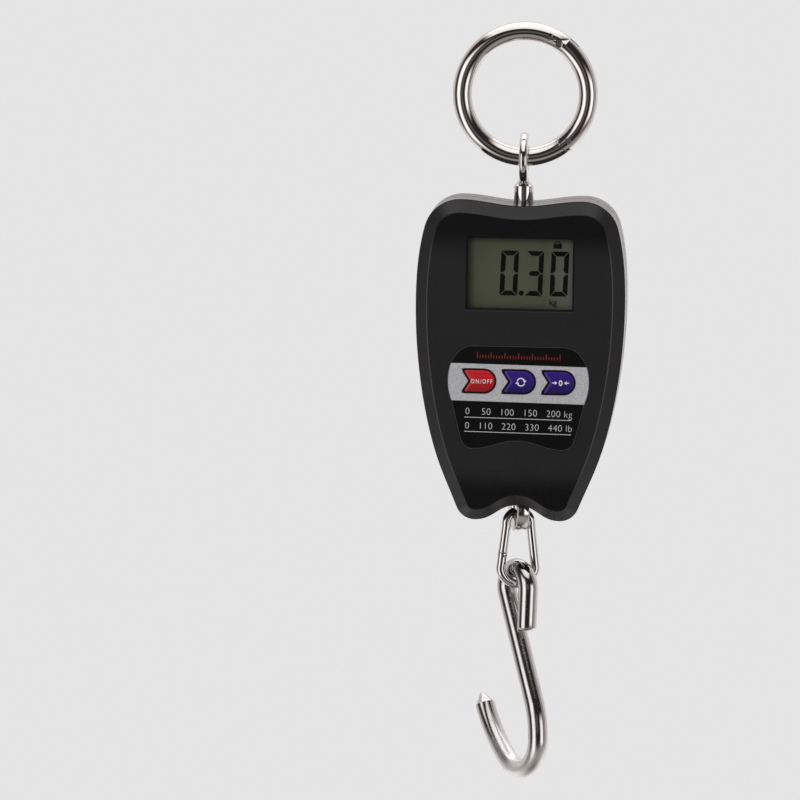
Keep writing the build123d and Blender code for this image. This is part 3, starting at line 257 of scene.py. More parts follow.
def worn_metal(name, colour, dull, roughness):
    """Plain steel or aluminium with turned marks."""
    finish = Finish(name)
    marks = finish.noise(0.0006, 2.0, 0.6, finish.stretched((1.0, 1.0, 6.0)))
    cloud = finish.noise(0.004, 2.0)
    return finish.surface(Base_Color=finish.blend(colour, dull, cloud), Metallic=1.0,
                          Roughness=roughness + 0.15 * marks, Normal=finish.bump(marks, 0.00001, 0.4))


ring_plating = plating("ring_plating", (0.69, 0.66, 0.64, 1.0), (0.58, 0.55, 0.53, 1.0), 0.035, 0.12)
eye_plating = plating("eye_plating", (0.70, 0.68, 0.66, 1.0), (0.58, 0.56, 0.54, 1.0), 0.04, 0.12)
link_plating = plating("link_plating", (0.68, 0.67, 0.66, 1.0), (0.54, 0.53, 0.52, 1.0), 0.05, 0.15)
hook_plating = plating("hook_plating", (0.62, 0.605, 0.595, 1.0), (0.47, 0.445, 0.43, 1.0), 0.055, 0.25, patch=0.35,
                       worn_foot=-0.2465)
pin_steel = worn_metal("pin_steel", grey(0.55), grey(0.40), 0.22)
nut_zinc = worn_metal("nut_zinc", (0.62, 0.62, 0.60, 1.0), (0.50, 0.49, 0.45, 1.0), 0.25)
screw_zinc = worn_metal("screw_zinc", grey(0.30), grey(0.18), 0.30)
cell_metal = worn_metal("cell_metal", (0.76, 0.76, 0.77, 1.0), (0.66, 0.66, 0.67, 1.0), 0.30)
contact_nickel = worn_metal("contact_nickel", (0.66, 0.63, 0.58, 1.0), (0.52, 0.49, 0.44, 1.0), 0.22)
case_black = case_finish("case_black", wall_depth=0.011, face_depth=0.016, line_top=-0.066, line_foot=-0.160,
                         window_half=(0.0200, 0.0140))
door_black = moulded("door_black", (0.0065, 0.0065, 0.007, 1.0), (0.0125, 0.0125, 0.013, 1.0), 0.45, 0.00045, 0.00005,
                     0.3)
seal_black = moulded("seal_black", grey(0.004), grey(0.008), 0.6, 0.0006, 0.00003)
holder_white = moulded("holder_white", grey(0.60), grey(0.70), 0.45, 0.0006, 0.00002)
plunger_nylon = moulded("plunger_nylon", grey(0.62), grey(0.72), 0.40, 0.0005, 0.00001)
switch_black = moulded("switch_black", grey(0.012), grey(0.02), 0.4, 0.0004, 0.00001)
chip_black = moulded("chip_black", grey(0.012), grey(0.03), 0.55, 0.0003, 0.00001)
component_tan = moulded("component_tan", (0.30, 0.20, 0.12, 1.0), (0.45, 0.32, 0.2, 1.0), 0.4, 0.0004, 0.00001)
gauge_film = moulded("gauge_film", (0.55, 0.30, 0.08, 1.0), (0.70, 0.45, 0.16, 1.0), 0.3, 0.0003, 0.00001)
lead_vinyl = moulded("lead_vinyl", (0.35, 0.02, 0.02, 1.0), (0.5, 0.05, 0.04, 1.0), 0.35, 0.0006, 0.00001)
light_acrylic = moulded("light_acrylic", (0.70, 0.73, 0.68, 1.0), (0.82, 0.84, 0.80, 1.0), 0.25, 0.002, 0.00001)
white_ink = moulded("white_ink", grey(0.68), grey(0.82), 0.45, 0.0004, 0.00001)
key_ink = moulded("key_ink", grey(0.82), grey(0.95), 0.45, 0.0004, 0.00001)
red_ink = moulded("red_ink", (0.36, 0.012, 0.012, 1.0), (0.46, 0.02, 0.02, 1.0), 0.45, 0.0004, 0.00001)
edge_highlight_grey = moulded("edge_highlight_grey", grey(0.055), grey(0.085), 0.35, 0.0006, 0.00001)
border_black = moulded("border_black", grey(0.003), grey(0.006), 0.4, 0.0006, 0.00001)


def strip_finish():
    """Contact rubber in thin bands."""
    finish = Finish("strip_rubber")
    bands = finish.node("ShaderNodeTexWave", {"bands_direction": "X"}, {"Vector": finish.place, "Scale": 400.0})
    colour = finish.blend((0.40, 0.25, 0.2, 1.0), (0.08, 0.06, 0.06, 1.0), bands)
    return finish.surface(Base_Color=colour, Roughness=0.6 + 0.1 * finish.noise(0.001))


def board_finish():
    """Lacquered glass-fibre board with a weave and copper runs under the lacquer."""
    finish = Finish("board_green")
    weave = finish.node("ShaderNodeTexChecker", None, {"Vector": finish.place, "Scale": 900.0}, out=1)
    run = finish.ramp(finish.noise(0.006, 1.0, 0.3, finish.stretched((1.0, 1.0, 3.0))), 0.50, 0.52)
    colour = finish.blend((0.010, 0.075, 0.022, 1.0), (0.025, 0.15, 0.045, 1.0), run)
    return finish.surface(Base_Color=colour, Roughness=0.28 + 0.06 * weave,
                          Normal=finish.bump(run + weave * 0.2, 0.00003, 0.3))


def wrap_finish(band_z, band_half):
    """Printed shrink wrap of a battery: dark, with a pale band at a height."""
    finish = Finish("battery_wrap")
    band = finish.ramp(abs(finish.part("Z") - band_z), band_half, band_half + 0.0001)
    colour = finish.blend((0.55, 0.55, 0.53, 1.0), (0.02, 0.09, 0.28, 1.0), band)
    return finish.surface(Base_Color=colour, Metallic=0.3, Roughness=0.25 + 0.1 * finish.noise(0.002, 2.0))


def lens_finish():
    """Clear window, nearly unseen but for its gloss."""
    finish = Finish("lens_clear")
    haze = finish.noise(0.01, 3.0)
    return finish.surface(Base_Color=(0.02, 0.022, 0.018, 1.0), Roughness=0.05 + 0.05 * haze,
                          Alpha=0.03 + 0.02 * haze)


def display_finish():
    """Olive grey display front: painted shade along its left and upper edges, painted light towards its right edge."""
    finish = Finish("display_olive")
    left_edge, top_edge = glass_low.x + 0.0014, glass_high.z - 0.0014     # where the window's bevel ends
    across = finish.ramp(finish.part("X"), glass_low.x, glass_high.x)
    left = finish.ramp(finish.part("X"), left_edge, left_edge + 0.0022, 0.45, 1.0)
    top = finish.ramp(finish.part("Z"), top_edge, top_edge - 0.0016, 0.5, 1.0)
    cloud = finish.noise(0.012, 2.0)
    colour = finish.blend((0.098, 0.103, 0.064, 1.0), (0.120, 0.125, 0.082, 1.0), cloud)
    # Painted light: the display is lightened towards its right edge.
    colour = finish.blend(colour, (0.190, 0.195, 0.150, 1.0), finish.ramp(across, 0.72, 1.0) * 0.9)
    shaded = finish.blend((0.012, 0.014, 0.009, 1.0), colour, left * top)
    return finish.surface(Base_Color=shaded, Roughness=0.40 + 0.05 * finish.noise(0.0006, 2.0),
                          Specular_IOR_Level=0.15, Normal=finish.bump(finish.noise(0.0004, 1.0), 0.000005, 0.3))


def figure_finish():
    """Dark parts of the display's figures."""
    finish = Finish("figure_black")
    tone = finish.blend((0.0022, 0.0024, 0.0016, 1.0), (0.004, 0.0042, 0.003, 1.0), finish.noise(0.002, 2.0))
    return finish.surface(Base_Color=tone, Roughness=0.5 + 0.1 * finish.noise(0.0008), Specular_IOR_Level=0.1)


def key_finish(name, node, shade_tone, plain, pale):
    """Rubber key with a painted highlight on the slope beside its notch and painted shade towards its foot."""
    finish = Finish(name)
    low, high = front_box(node)
    middle_z, half = (low.z + high.z) / 2, (high.z - low.z) / 2
    level = (finish.part("Z") - middle_z) / half
    inside = finish.part("X") - low.x - key_notch * (1.0 - abs(level))
    # Painted highlight: the slope beside the notch is made lighter.
    slope = finish.ramp(inside, 0.0003, 0.0006) * finish.ramp(inside, 0.0013, 0.0008)
    cloud = finish.noise(0.0012, 2.0)
    # Painted shade: the key darkens towards its foot.
    colour = finish.blend(shade_tone, plain, finish.ramp(level, -1.0, 0.4) * 0.8 + cloud * 0.2)
    colour = finish.blend(colour, pale, slope * 0.55)
    return finish.surface(Base_Color=colour, Roughness=0.30 + 0.08 * cloud, Specular_IOR_Level=0.35,
                          Normal=finish.bump(finish.noise(0.0006, 2.0), 0.00001, 0.4))


def label_finish(band_foot, band_top):
    """Printed film: black with a silver band that has a fine sparkle; the band's limits are from the keys' middle."""
    finish = Finish("label_film")
    level = finish.part("Z") + finish.part("X") * math.tan(label_turn) - keys_z
    band = (level < band_top) * (level > band_foot)
    sparkle = finish.noise(0.00035, 2.0, 0.7)
    silver = finish.blend((0.47, 0.47, 0.49, 1.0), (0.74, 0.74, 0.77, 1.0), finish.ramp(sparkle, 0.3, 0.7))
    black = finish.blend(grey(0.0018), grey(0.0038), finish.noise(0.0006, 2.0))
    return finish.surface(Base_Color=finish.blend(black, silver, band), Metallic=band * 0.35,
                          Roughness=0.30 + band * 0.15 + 0.08 * finish.noise(0.01, 2.0), Specular_IOR_Level=0.3,
                          Normal=finish.bump(sparkle * band, 0.00001, 0.4))


strip_rubber = strip_finish()
board_green = board_finish()
battery_wrap = wrap_finish(band_z=-0.091, band_half=0.0035)
lens_clear = lens_finish()
display_olive = display_finish()
label_film = label_finish(band_foot=-0.00735, band_top=0.00600)
figure_black = figure_finish()
red_rubber = key_finish("red_rubber", "key_on_off", (0.26, 0.004, 0.005, 1.0), (0.66, 0.009, 0.012, 1.0),
                        (0.80, 0.10, 0.10, 1.0))
indigo_unit, indigo_zero = (key_finish("indigo_" + word, "key_" + word, (0.010, 0.003, 0.08, 1.0),
                                       (0.032, 0.007, 0.22, 1.0), (0.14, 0.07, 0.50, 1.0))
                            for word in ("unit", "zero"))

dressed = {
    ring_plating: ["ring_body", "ring_gate"],
    eye_plating: ["upper_eye_bolt", "lower_eye_bolt"],
    link_plating: ["chain_link"],
    hook_plating: ["hook"],
    pin_steel: ["gate_rivet", "latch_pin", "gate_plunger", "gate_spring"],
    nut_zinc: ["upper_lock_nut", "lower_lock_nut"],
    cell_metal: ["load_cell"],
    gauge_film: ["strain_gauges"],
    lead_vinyl: ["gauge_leads", "battery_leads"],
    case_black: ["front_shell", "rear_shell"],
    seal_black: ["case_seal"],
    screw_zinc: ["case_screws", "board_screws"],
    lens_clear: ["lcd_lens"],
    display_olive: ["lcd_glass"],
    light_acrylic: ["lcd_back_light"],
    holder_white: ["lcd_holder"],
    strip_rubber: ["contact_strip"],
    board_green: ["main_board"],
    switch_black: ["key_switches"],
    chip_black: ["controller_chip"],
    component_tan: ["board_components"],
    label_film: ["label_sheet"],
    red_rubber: ["key_on_off"],
    indigo_unit: ["key_unit"],
    indigo_zero: ["key_zero"],
    plunger_nylon: ["plunger_on_off", "plunger_unit", "plunger_zero"],
    battery_wrap: ["battery_left", "battery_right"],
    contact_nickel: ["battery_contacts", "battery_springs"],
    door_black: ["battery_door"],
}
for material, names in dressed.items():
    for name in names:
        slots = nodes[name].data.materials
        slots.clear()
        slots.append(material)


# -------- pieces
def linked(name, data):
    """New object in the scene."""
    made = bpy.data.objects.new(name, data)
    scene.collection.objects.link(made)
    return made


def piece(name, mesh, body, material):
    """Finished mesh as a piece that rides on a body."""
    mesh.materials.clear()
    mesh.materials.append(material)
    made = linked(name, mesh)
    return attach(made, body)


def evaluated(holder):
    """Plain mesh of what an object's modifiers or typeface make; the object itself is taken away."""
    bpy.context.view_layer.update()
    mesh = bpy.data.meshes.new_from_object(holder.evaluated_get(bpy.context.evaluated_depsgraph_get()))
    holder.modifiers.clear()
    bpy.data.objects.remove(holder)
    return mesh


def built(name, corners, faces):
    """Mesh from corners and faces."""
    mesh = bpy.data.meshes.new(name)
    mesh.from_pydata(corners, [], faces)
    mesh.validate()
    return mesh


weld_gap = 0.000002     # corners of a node's triangles that are closer than this are one


def opened(mesh, gap):
    """Editable shape of a mesh, in which corners closer than a gap are one."""
    shape = bmesh.new()
    shape.from_mesh(mesh)
    bmesh.ops.remove_doubles(shape, verts=shape.verts, dist=gap)
    return shape


def settled(shape, mesh, sharp=None):
    """The mesh with a shape written back to it; with an angle given, only sharper edges are shaded sharp."""
    shape.to_mesh(mesh)
    shape.free()
    if sharp is not None:
        mesh.shade_smooth()
        mesh.set_sharp_from_angle(angle=math.radians(sharp))
    return mesh


def tube_faces(rings, around, closed=False, capped=False):
    """Faces between neighbouring rings of corners that are numbered ring after ring."""
    faces = [(k * around + i, k * around + (i + 1) % around, (k + 1) % rings * around + (i + 1) % around,
              (k + 1) % rings * around + i) for k in range(rings if closed else rings - 1) for i in range(around)]
    if capped:
        faces += [list(reversed(range(around))), [(rings - 1) * around + i for i in range(around)]]
    return faces


def skin(name, corners, faces, sharp=None):
    """Mesh from corners and faces, with all faces turned outwards."""
    mesh = bpy.data.meshes.new(name)
    mesh.from_pydata(corners, [], faces)
    shape = opened(mesh, 0.0000005)
    bmesh.ops.recalc_face_normals(shape, faces=shape.faces)
    return settled(shape, mesh, sharp)


sunk = 0.2      # share of a thin plate's thickness that sits below the face it stands on


def plates(name, outlines, face, thickness):
    """Flat outlines seen from the front, run either way, as thin closed plates that stand on a face."""
    corners = []
    faces = []
    for outline in outlines:
        start, count = len(corners), len(outline)
        with_the_clock = sum(x * outline[i - 1][1] - outline[i - 1][0] * z for i, (x, z) in enumerate(outline)) > 0
        outline = outline[::-1] if with_the_clock else outline
        corners += [(x, y, z) for y in (face - thickness, face + thickness * sunk) for x, z in outline]
        faces += [[start + i for i in range(count)], [start + count + i for i in reversed(range(count))]]
        for i in range(count):
            j = (i + 1) % count
            faces.append([start + j, start + i, start + count + i, start + count + j])
    return built(name, corners, faces)


capital_height = 0.69       # of a capital in the built-in typeface, in parts of its size


def lettering(name, words, height, middle, face, thickness, turn=0.0, weight=0.0, wide=1.0, spread=1.0):
    """Words as a flat mesh that faces the front, one thickness before a face; height is that of a capital."""
    curve = bpy.data.curves.new(name, "FONT")
    curve.body = words
    curve.align_x, curve.align_y = "CENTER", "BOTTOM_BASELINE"
    curve.offset, curve.space_character, curve.resolution_u = weight, spread, 4
    mesh = evaluated(linked(name, curve))
    bpy.data.curves.remove(curve)
    scale = height / capital_height
    place = Matrix.Translation((middle[0], face - thickness, middle[1])) @ Matrix.Rotation(math.pi / 2, 4, "X")
    mesh.transform(place @ Matrix.Rotation(-turn, 4, "Z") @ Matrix.Diagonal((scale * wide, scale, 1.0, 1.0)))
    return mesh


def joined(name, meshes):
    """Several meshes as one."""
    corners = []
    faces = []
    for mesh in meshes:
        start = len(corners)
        corners += [v.co.copy() for v in mesh.vertices]
        faces += [[start + i for i in p.vertices] for p in mesh.polygons]
        bpy.data.meshes.remove(mesh)
    return built(name, corners, faces)


def front_outline(name, face):
    """Outer outline of a node's flat front at one depth; its surface lies on the left."""
    mesh = nodes[name].data
    spot = [(round(v.co.x, 6), round(v.co.z, 6)) for v in mesh.vertices]
    edges = set()
    for triangle in mesh.polygons:
        if all(abs(mesh.vertices[i].co.y - face) < weld_gap for i in triangle.vertices):
            ends = [spot[i] for i in triangle.vertices]
            edges.update(zip(ends, ends[1:] + ends[:1]))
    following = {a: b for a, b in edges if (b, a) not in edges and a != b}
    loops = []
    while following:
        start, here = following.popitem()
        loop = [start]
        while here != start and here in following:
            loop.append(here)
            here = following.pop(here)
        loops.append(loop)
    return max(loops, key=lambda loop: max(x for x, _ in loop))


def shifted(loop, distance):
    """Outline moved towards its left."""
    moved = []
    count = len(loop)
    for i in range(count):
        before, here, after = (Vector(loop[(i + k) % count]) for k in (-1, 0, 1))
        first = (here - before).normalized()
        along = (first + (after - here).normalized()).normalized()
        stretch = max(0.6, along.dot(first))
        moved.append((here.x - along.y * distance / stretch, here.y + along.x * distance / stretch))
    return moved


def edging(name, loop, near, far, face, thickness):
    """Flat band along an outline, between two distances to its left."""
    inner, outer = shifted(loop, near), shifted(loop, far)
    front, back = face - thickness, face + thickness * sunk
    corners = [(x, y, z) for ring, y in ((inner, front), (outer, front), (outer, back), (inner, back)) for x, z in ring]
    return built(name, corners, tube_faces(4, len(loop), closed=True))


# -------- ring joint and lower eye
notch_top = 0.002       # how far a notch's cutter reaches out from its floor


def notch(angle, offset, length, width, depth, tilt):
    """Corners of two cutters at a clock angle on the ring's bar, one for its front and one for its back."""
    turn, lean = math.radians(angle), math.radians(tilt)
    outward = Vector((math.sin(turn), 0.0, math.cos(turn)))
    along = Vector((math.cos(turn), 0.0, -math.sin(turn)))
    blocks = []
    for side in (-1.0, 1.0):
        up = Vector((0.0, side, 0.0)) * math.cos(lean) + outward * math.sin(lean)
        across = along.cross(up)
        floor = ring_heart + outward * (ring_radius + offset) + up * (ring_half_bar - depth)
        blocks.append([floor + along * (i * length / 2) + across * (j * width / 2) + up * (k * notch_top)
                       for i in (-1, 1) for j in (-1, 1) for k in (0, 1)])
    return blocks


def cutter(blocks):
    """Mesh with each block closed around its corners."""
    shape = bmesh.new()
    for block in blocks:
        bmesh.ops.convex_hull(shape, input=[shape.verts.new(corner) for corner in block])
    bmesh.ops.recalc_face_normals(shape, faces=shape.faces)
    return settled(shape, bpy.data.meshes.new("cutter"))


def cut(mesh, blocks):
    """The mesh with the blocks taken away."""
    solid, tool = linked("cut_from", mesh), linked("cut_with", cutter(blocks))
    step = solid.modifiers.new("cut", "BOOLEAN")
    step.operation, step.solver, step.object = "DIFFERENCE", "EXACT", tool
    done = evaluated(solid)
    bpy.data.objects.remove(tool)
    return done


def softened(name, node, body, width, material, slot, *notches):
    """Copy of a solid with notches cut at its joint and its sharp edges worn round."""
    mesh = nodes[node].data.copy()
    settled(opened(mesh, weld_gap), mesh)
    for blocks in notches:
        mesh = cut(mesh, blocks)
    mesh.name = name
    shape = opened(mesh, weld_gap)
    bmesh.ops.dissolve_degenerate(shape, dist=weld_gap, edges=shape.edges)
    sharp = [e for e in shape.edges if len(e.link_faces) == 2 and e.calc_face_angle(0.0) > math.radians(38.0)]
    bmesh.ops.bevel(shape, geom=sharp, offset=width, offset_type="OFFSET", segments=2, profile=0.5, affect="EDGES",
                    clamp_overlap=True)
    made = piece(name, settled(shape, mesh, sharp=40.0), body, material)
    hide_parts(node)


edge_round = 0.00012
softened("ring_bar", "ring_body", "ring", edge_round, ring_plating, "ring_steel",
         notch(22.6, offset=0.0002, length=0.0012, width=0.0022, depth=0.0011, tilt=0.0))
softened("gate_bar", "ring_gate", "gate", edge_round, ring_plating, "gate_steel",
         notch(33.0, offset=0.0, length=0.0042, width=0.0040, depth=0.00055, tilt=27.0),
         notch(31.0, offset=0.0003, length=0.0014, width=0.0016, depth=0.0012, tilt=0.0))


def crowned_rim(name, node, turn, radius, width, crown):
    """Rounded band around the rim of an eye that faces sideways, sunk a little into the rim at both edges."""
    low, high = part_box(node)
    heart = Vector(((low.x + high.x) / 2, (low.y + high.y) / 2, low.z + radius))
    steps, points = 72, 13
    edge, root = radius - 0.00009, radius - 0.0003
    shares = [2 * j / (points - 1) - 1 for j in range(points)]
    section = [(width * share / 2, edge + crown * (1 - share ** 2)) for share in shares]
    section += [(width / 2, root), (-width / 2, root)]
    spin = Matrix.Translation(heart) @ Matrix.Rotation(math.radians(turn), 4, "Z")
    angles = [2 * math.pi * i / steps for i in range(steps)]
    corners = [spin @ Vector((x, reach * math.cos(a), reach * math.sin(a))) for a in angles for x, reach in section]
    mesh = skin(name, corners, tube_faces(steps, len(section), closed=True), sharp=50.0)
    piece(name, mesh, "case", eye_plating)


crowned_rim("lower_eye_rim", "lower_eye_bolt", turn=16.0, radius=0.0078, width=0.0039, crown=0.00034)


# -------- hook and link
def arc(centre_x, centre_z, radius, start, end, steps):
    """Points on an arc, both ends included; angles in degrees."""
    turns = [math.radians(start + (end - start) * k / steps) for k in range(steps + 1)]
    return [(centre_x + radius * math.cos(a), centre_z + radius * math.sin(a)) for a in turns]


def straight(start, end, steps):
    """Points on a straight run, both ends left out."""
    return [tuple(Vector(start).lerp(Vector(end), k / steps)) for k in range(1, steps)]


def rod(name, path, radii, turn, lean, foot_z, closed=False, sides=36):
    """Round bar bent along a path in an upright plane, which leans by one angle and is turned about Z by the other."""
    along_x = Vector((math.cos(turn), math.sin(turn), 0.0))
    upward = Vector((0.0, 0.0, 1.0))
    normal = upward.cross(along_x)
    tilt = Matrix.Rotation(lean, 3, -normal)
    spots = [tilt @ (along_x * x + upward * z) + Vector((0.0, 0.0, foot_z)) for x, z in path]
    count = len(spots)
    corners = []
    for k, (spot, radius) in enumerate(zip(spots, radii)):
        before = spots[k - 1] if k or closed else spot
        after = spots[(k + 1) % count] if k < count - 1 or closed else spot
        run = (after - before).normalized()
        side = run.cross(normal)
        for s in range(sides):
            a = 2 * math.pi * s / sides
            corners.append(spot + (side * math.cos(a) + normal * math.sin(a)) * radius)
    return skin(name, corners, tube_faces(count, sides, closed, capped=not closed), sharp=35.0)


# The hook's path is drawn in its own plane from the middle of the link's lowest wire: across, then up.
wire = 0.0016
link_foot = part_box("chain_link")[0].z + wire
link_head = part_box("chain_link")[1].z - wire
hook_bar = 0.0035
hook_turn = math.radians(-53.0)
hook_lean = math.radians(-2.6)
eye_radius = 0.00687
eye_slack = 0.00055
eye_rise = wire + eye_slack + hook_bar - eye_radius
leg_drop = 0.0154
leg_round = 0.0012
leg_angles = [math.radians(a) for a in (0, 22, 45, 68, 90)]
saddle_radius = 0.0119
saddle_x = 0.0051
saddle_drop = 0.0543
saddle_end = 33.8
bow_radius = 0.0302
arm_x, arm_drop = -0.0177, 0.0472
cone_length = 0.0045

bow_x = saddle_x + saddle_radius - bow_radius
# Slope of the shank, which runs straight from the eye's arc to the bow's: halved in on.
slope_low, slope_high = 0.0, math.radians(50.0)
for _ in range(40):
    slope = (slope_low + slope_high) / 2
    spare = (eye_rise + saddle_drop) * math.sin(slope) - eye_radius - bow_x * math.cos(slope) - bow_radius
    slope_low, slope_high = (slope, slope_high) if spare < 0 else (slope_low, slope)
slope = math.degrees(slope)
loop = arc(0.0, eye_rise, eye_radius, 0.0, 180.0 + slope, 48)
bow = arc(bow_x, -saddle_drop, bow_radius, slope, 0.0, 20)
saddle = arc(saddle_x, -saddle_drop, saddle_radius, 0.0, -90.0 - saddle_end, 32)
# The arm is the arc that leaves the saddle smoothly and ends at the cone.
arm_start, arm_end = Vector(saddle[-1]), Vector((arm_x, -arm_drop))
inward = (Vector((saddle_x, -saddle_drop)) - arm_start).normalized()
chord = arm_end - arm_start
arm_radius = chord.length_squared / (2 * chord.dot(inward))
arm_centre = arm_start + inward * arm_radius
swing = (arm_start - arm_centre).angle_signed(arm_end - arm_centre)
first = math.degrees(math.atan2(arm_start.y - arm_centre.y, arm_start.x - arm_centre.x))
arm = arc(arm_centre.x, arm_centre.y, arm_radius, first, first - math.degrees(swing), 24)[1:]
leg = [(eye_radius, -leg_drop + leg_round * (1 - math.cos(a))) for a in leg_angles]
leg_radii = [hook_bar - leg_round * (1 - math.sin(a)) for a in leg_angles]
path = leg + straight(leg[-1], loop[0], 8) + loop + straight(loop[-1], bow[0], 10) + bow + saddle[1:] + arm
radii = leg_radii + [hook_bar] * (len(path) - len(leg))
point_run = (Vector(arm[-1]) - Vector(arm[-2])).normalized()
for share, radius in ((0.004, 0.985), (0.9, 0.22), (0.97, 0.13), (1.0, 0.05)):
    path.append(tuple(Vector(arm[-1]) + point_run * cone_length * share))
    radii.append(hook_bar * radius)
made = piece("bent_hook", rod("bent_hook", path, radii, hook_turn, hook_lean, link_foot), "hook", hook_plating)
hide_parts("hook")

link_turn = math.radians(16.0)
head_radius, foot_radius = 0.0045, 0.0064
link_height = link_head - link_foot
span = link_height - head_radius - foot_radius
taper = math.degrees(math.asin((foot_radius - head_radius) / span))
head = arc(0.0, link_height - head_radius, head_radius, -taper, 180.0 + taper, 36)
foot = arc(0.0, foot_radius, foot_radius, 180.0 + taper, 360.0 - taper, 36)
path = head + straight(head[-1], foot[0], 40) + foot + straight(foot[-1], head[0], 12)
weld_z = link_height - 0.0151
seam_z = weld_z + 0.0002
# The weld is a bead around the left side's wire, with a narrow seam sunk in it.
radii = [wire + (x < 0) * (0.00022 * math.exp(-((z - weld_z) / 0.0009) ** 2)
                           - 0.00020 * math.exp(-((z - seam_z) / 0.00022) ** 2)) for x, z in path]
made = piece("welded_link", rod("welded_link", path, radii, link_turn, 0.0, link_foot, closed=True, sides=28), "link",
             link_plating)
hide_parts("chain_link")


# -------- display figures
figure_height = 0.0160
figure_width = 0.0063
figure_pitch = 0.0089
figure_stroke = 0.0017
figure_gap = 0.00020
figure_slant = math.tan(math.radians(2.0))
glass_face = glass_low.y
segments_of = {"0": "abcdef", "3": "abcdg"}


def figure(digit, left):
    """Parts of a seven-part figure; left is the place of its lower left corner."""
    w, h, s, g = figure_width, figure_height, figure_stroke, figure_gap
    half = h / 2
    top = [(g, h), (w - g, h), (w - s - g, h - s), (s + g, h - s)]
    side = [(w, h - g), (w, half + g), (w - s / 2, half + g), (w - s, half + s / 2 + g), (w - s, h - s - g)]
    shapes = {"a": top, "b": side, "c": [(x, h - z) for x, z in side], "d": [(x, h - z) for x, z in top],
              "e": [(w - x, h - z) for x, z in side], "f": [(w - x, z) for x, z in side],
              "g": [(s / 2 + g, half), (s + g, half + s / 2), (w - s - g, half + s / 2), (w - s / 2 - g, half),
                    (w - s - g, half - s / 2), (s + g, half - s / 2)]}
    foot = window_z - half
    return [[(left + x + z * figure_slant, foot + z) for x, z in shapes[part]] for part in segments_of[digit]]


def ring_arc(x, z, outer, inner, start, end, steps=16):
    """Outline of a part of a flat ring; angles in degrees."""
    return arc(x, z, outer, start, end, steps) + arc(x, z, inner, end, start, steps)


first_left = -0.0074
outlines = [part for k, digit in enumerate("030") for part in figure(digit, first_left + k * figure_pitch)]
point_x, point_radius = first_left + figure_pitch - 0.0011, 0.0009
outlines.append(arc(point_x, window_z - figure_height / 2 + point_radius, point_radius, 0.0, 360.0, 20)[1:])
lock_x, lock_z = 0.0131, window_z + 0.0100
lock_half, lock_foot, lock_top = 0.0015, lock_z - 0.0010, lock_z + 0.0007
shackle = ring_arc(lock_x, lock_z + 0.0006, 0.00105, 0.00070, 0.0, 180.0, 12)
lock_body = [(lock_x - lock_half, lock_foot), (lock_x + lock_half, lock_foot), (lock_x + lock_half, lock_top),
             (lock_x - lock_half, lock_top)]
parts = [plates("figures", outlines, glass_face, sign_depth),
         plates("lock", [shackle, lock_body], glass_face, sign_depth),
         lettering("unit", "kg", 0.0022, (0.0117, window_z - 0.0112), glass_face, sign_depth, weight=0.012)]
piece("display_figures", joined("display_figures", parts), "case", figure_black)


# -------- label print
def on_label(x, drop):
    """Place on the label from its middle line and a height from the keys' middle."""
    return (x, keys_z + drop - x * math.tan(label_turn))


rows = [lettering("row", words, 0.0024, on_label(0.0003, drop), label_face, print_depth, turn=label_turn, weight=-0.020,
                  wide=0.98, spread=1.03)
        for drop, words in ((-0.0122, "0    50   100   150   200 kg"), (-0.0173, "0   110   220   330   440 lb"))]
rule_half, rule_width = 0.0190, 0.00019
rules = []
for drop in (-0.0133, -0.0184):
    (left, left_z), (right, right_z) = on_label(-rule_half, drop), on_label(rule_half, drop)
    rules.append([(left, left_z), (right, right_z), (right, right_z + rule_width), (left, left_z + rule_width)])
rows.append(plates("rules", rules, label_face, print_depth))
piece("label_figures", joined("label_figures", rows), "case", white_ink)
# Painted highlight: a grey band along the label's outline stands in for light caught by the label's edge.
edge_highlight = edging("label_edge_highlight", front_outline("label_sheet", label_face), 0.00002, 0.00022, label_face, 0.00003)
piece("label_edge_highlight", edge_highlight, "case", edge_highlight_grey)


def rounded(points, radii, steps=8):
    """Closed outline whose corners are arcs; points run against the clock."""
    outline = []
    count = len(points)
    for i in range(count):
        before, here, after = (Vector(points[(i + k) % count]) for k in (-1, 0, 1))
        first, last = (before - here).normalized(), (after - here).normalized()
        half = first.angle(last) / 2
        reach = radii[i] / math.tan(half)
        centre = here + (first + last).normalized() * (radii[i] / math.sin(half))
        start, end = here + first * reach - centre, here + last * reach - centre
        sweep = start.angle_signed(end)
        for k in range(steps + 1):
            spin = Matrix.Rotation(-sweep * k / steps, 2)
            outline.append(tuple(centre + spin @ start))
    return outline


notch_round = 0.0005        # radius at the foot of a key's notch
end_share = 0.98            # radius of the two corners that round a key's right end, in parts of its half height


def key_outline(low, high, grow, tip):
    """A key's outline: a notch at the left, a half round at the right; grow moves it outwards."""
    middle_z, half = (low.z + high.z) / 2, (high.z - low.z) / 2
    slope = math.atan2(key_notch, half)
    left = low.x - grow * (1.0 + math.sin(slope)) / math.cos(slope)
    notch_tip = low.x + key_notch - grow / math.cos(slope)
    reach = half + grow
    round_x = high.x - half
    points = [(round_x + reach, middle_z - reach), (round_x + reach, middle_z + reach), (left, middle_z + reach),
              (notch_tip, middle_z), (left, middle_z - reach)]
    return rounded(points, (reach * end_share, reach * end_share, tip, notch_round, tip))


def stack(name, loops, capped, sharp=None):
    """Skin through outlines given as (outline, depth), one after the other."""
    corners = [(x, depth, z) for outline, depth in loops for x, z in outline]
    return skin(name, corners, tube_faces(len(loops), len(loops[0][0]), capped=capped), sharp)


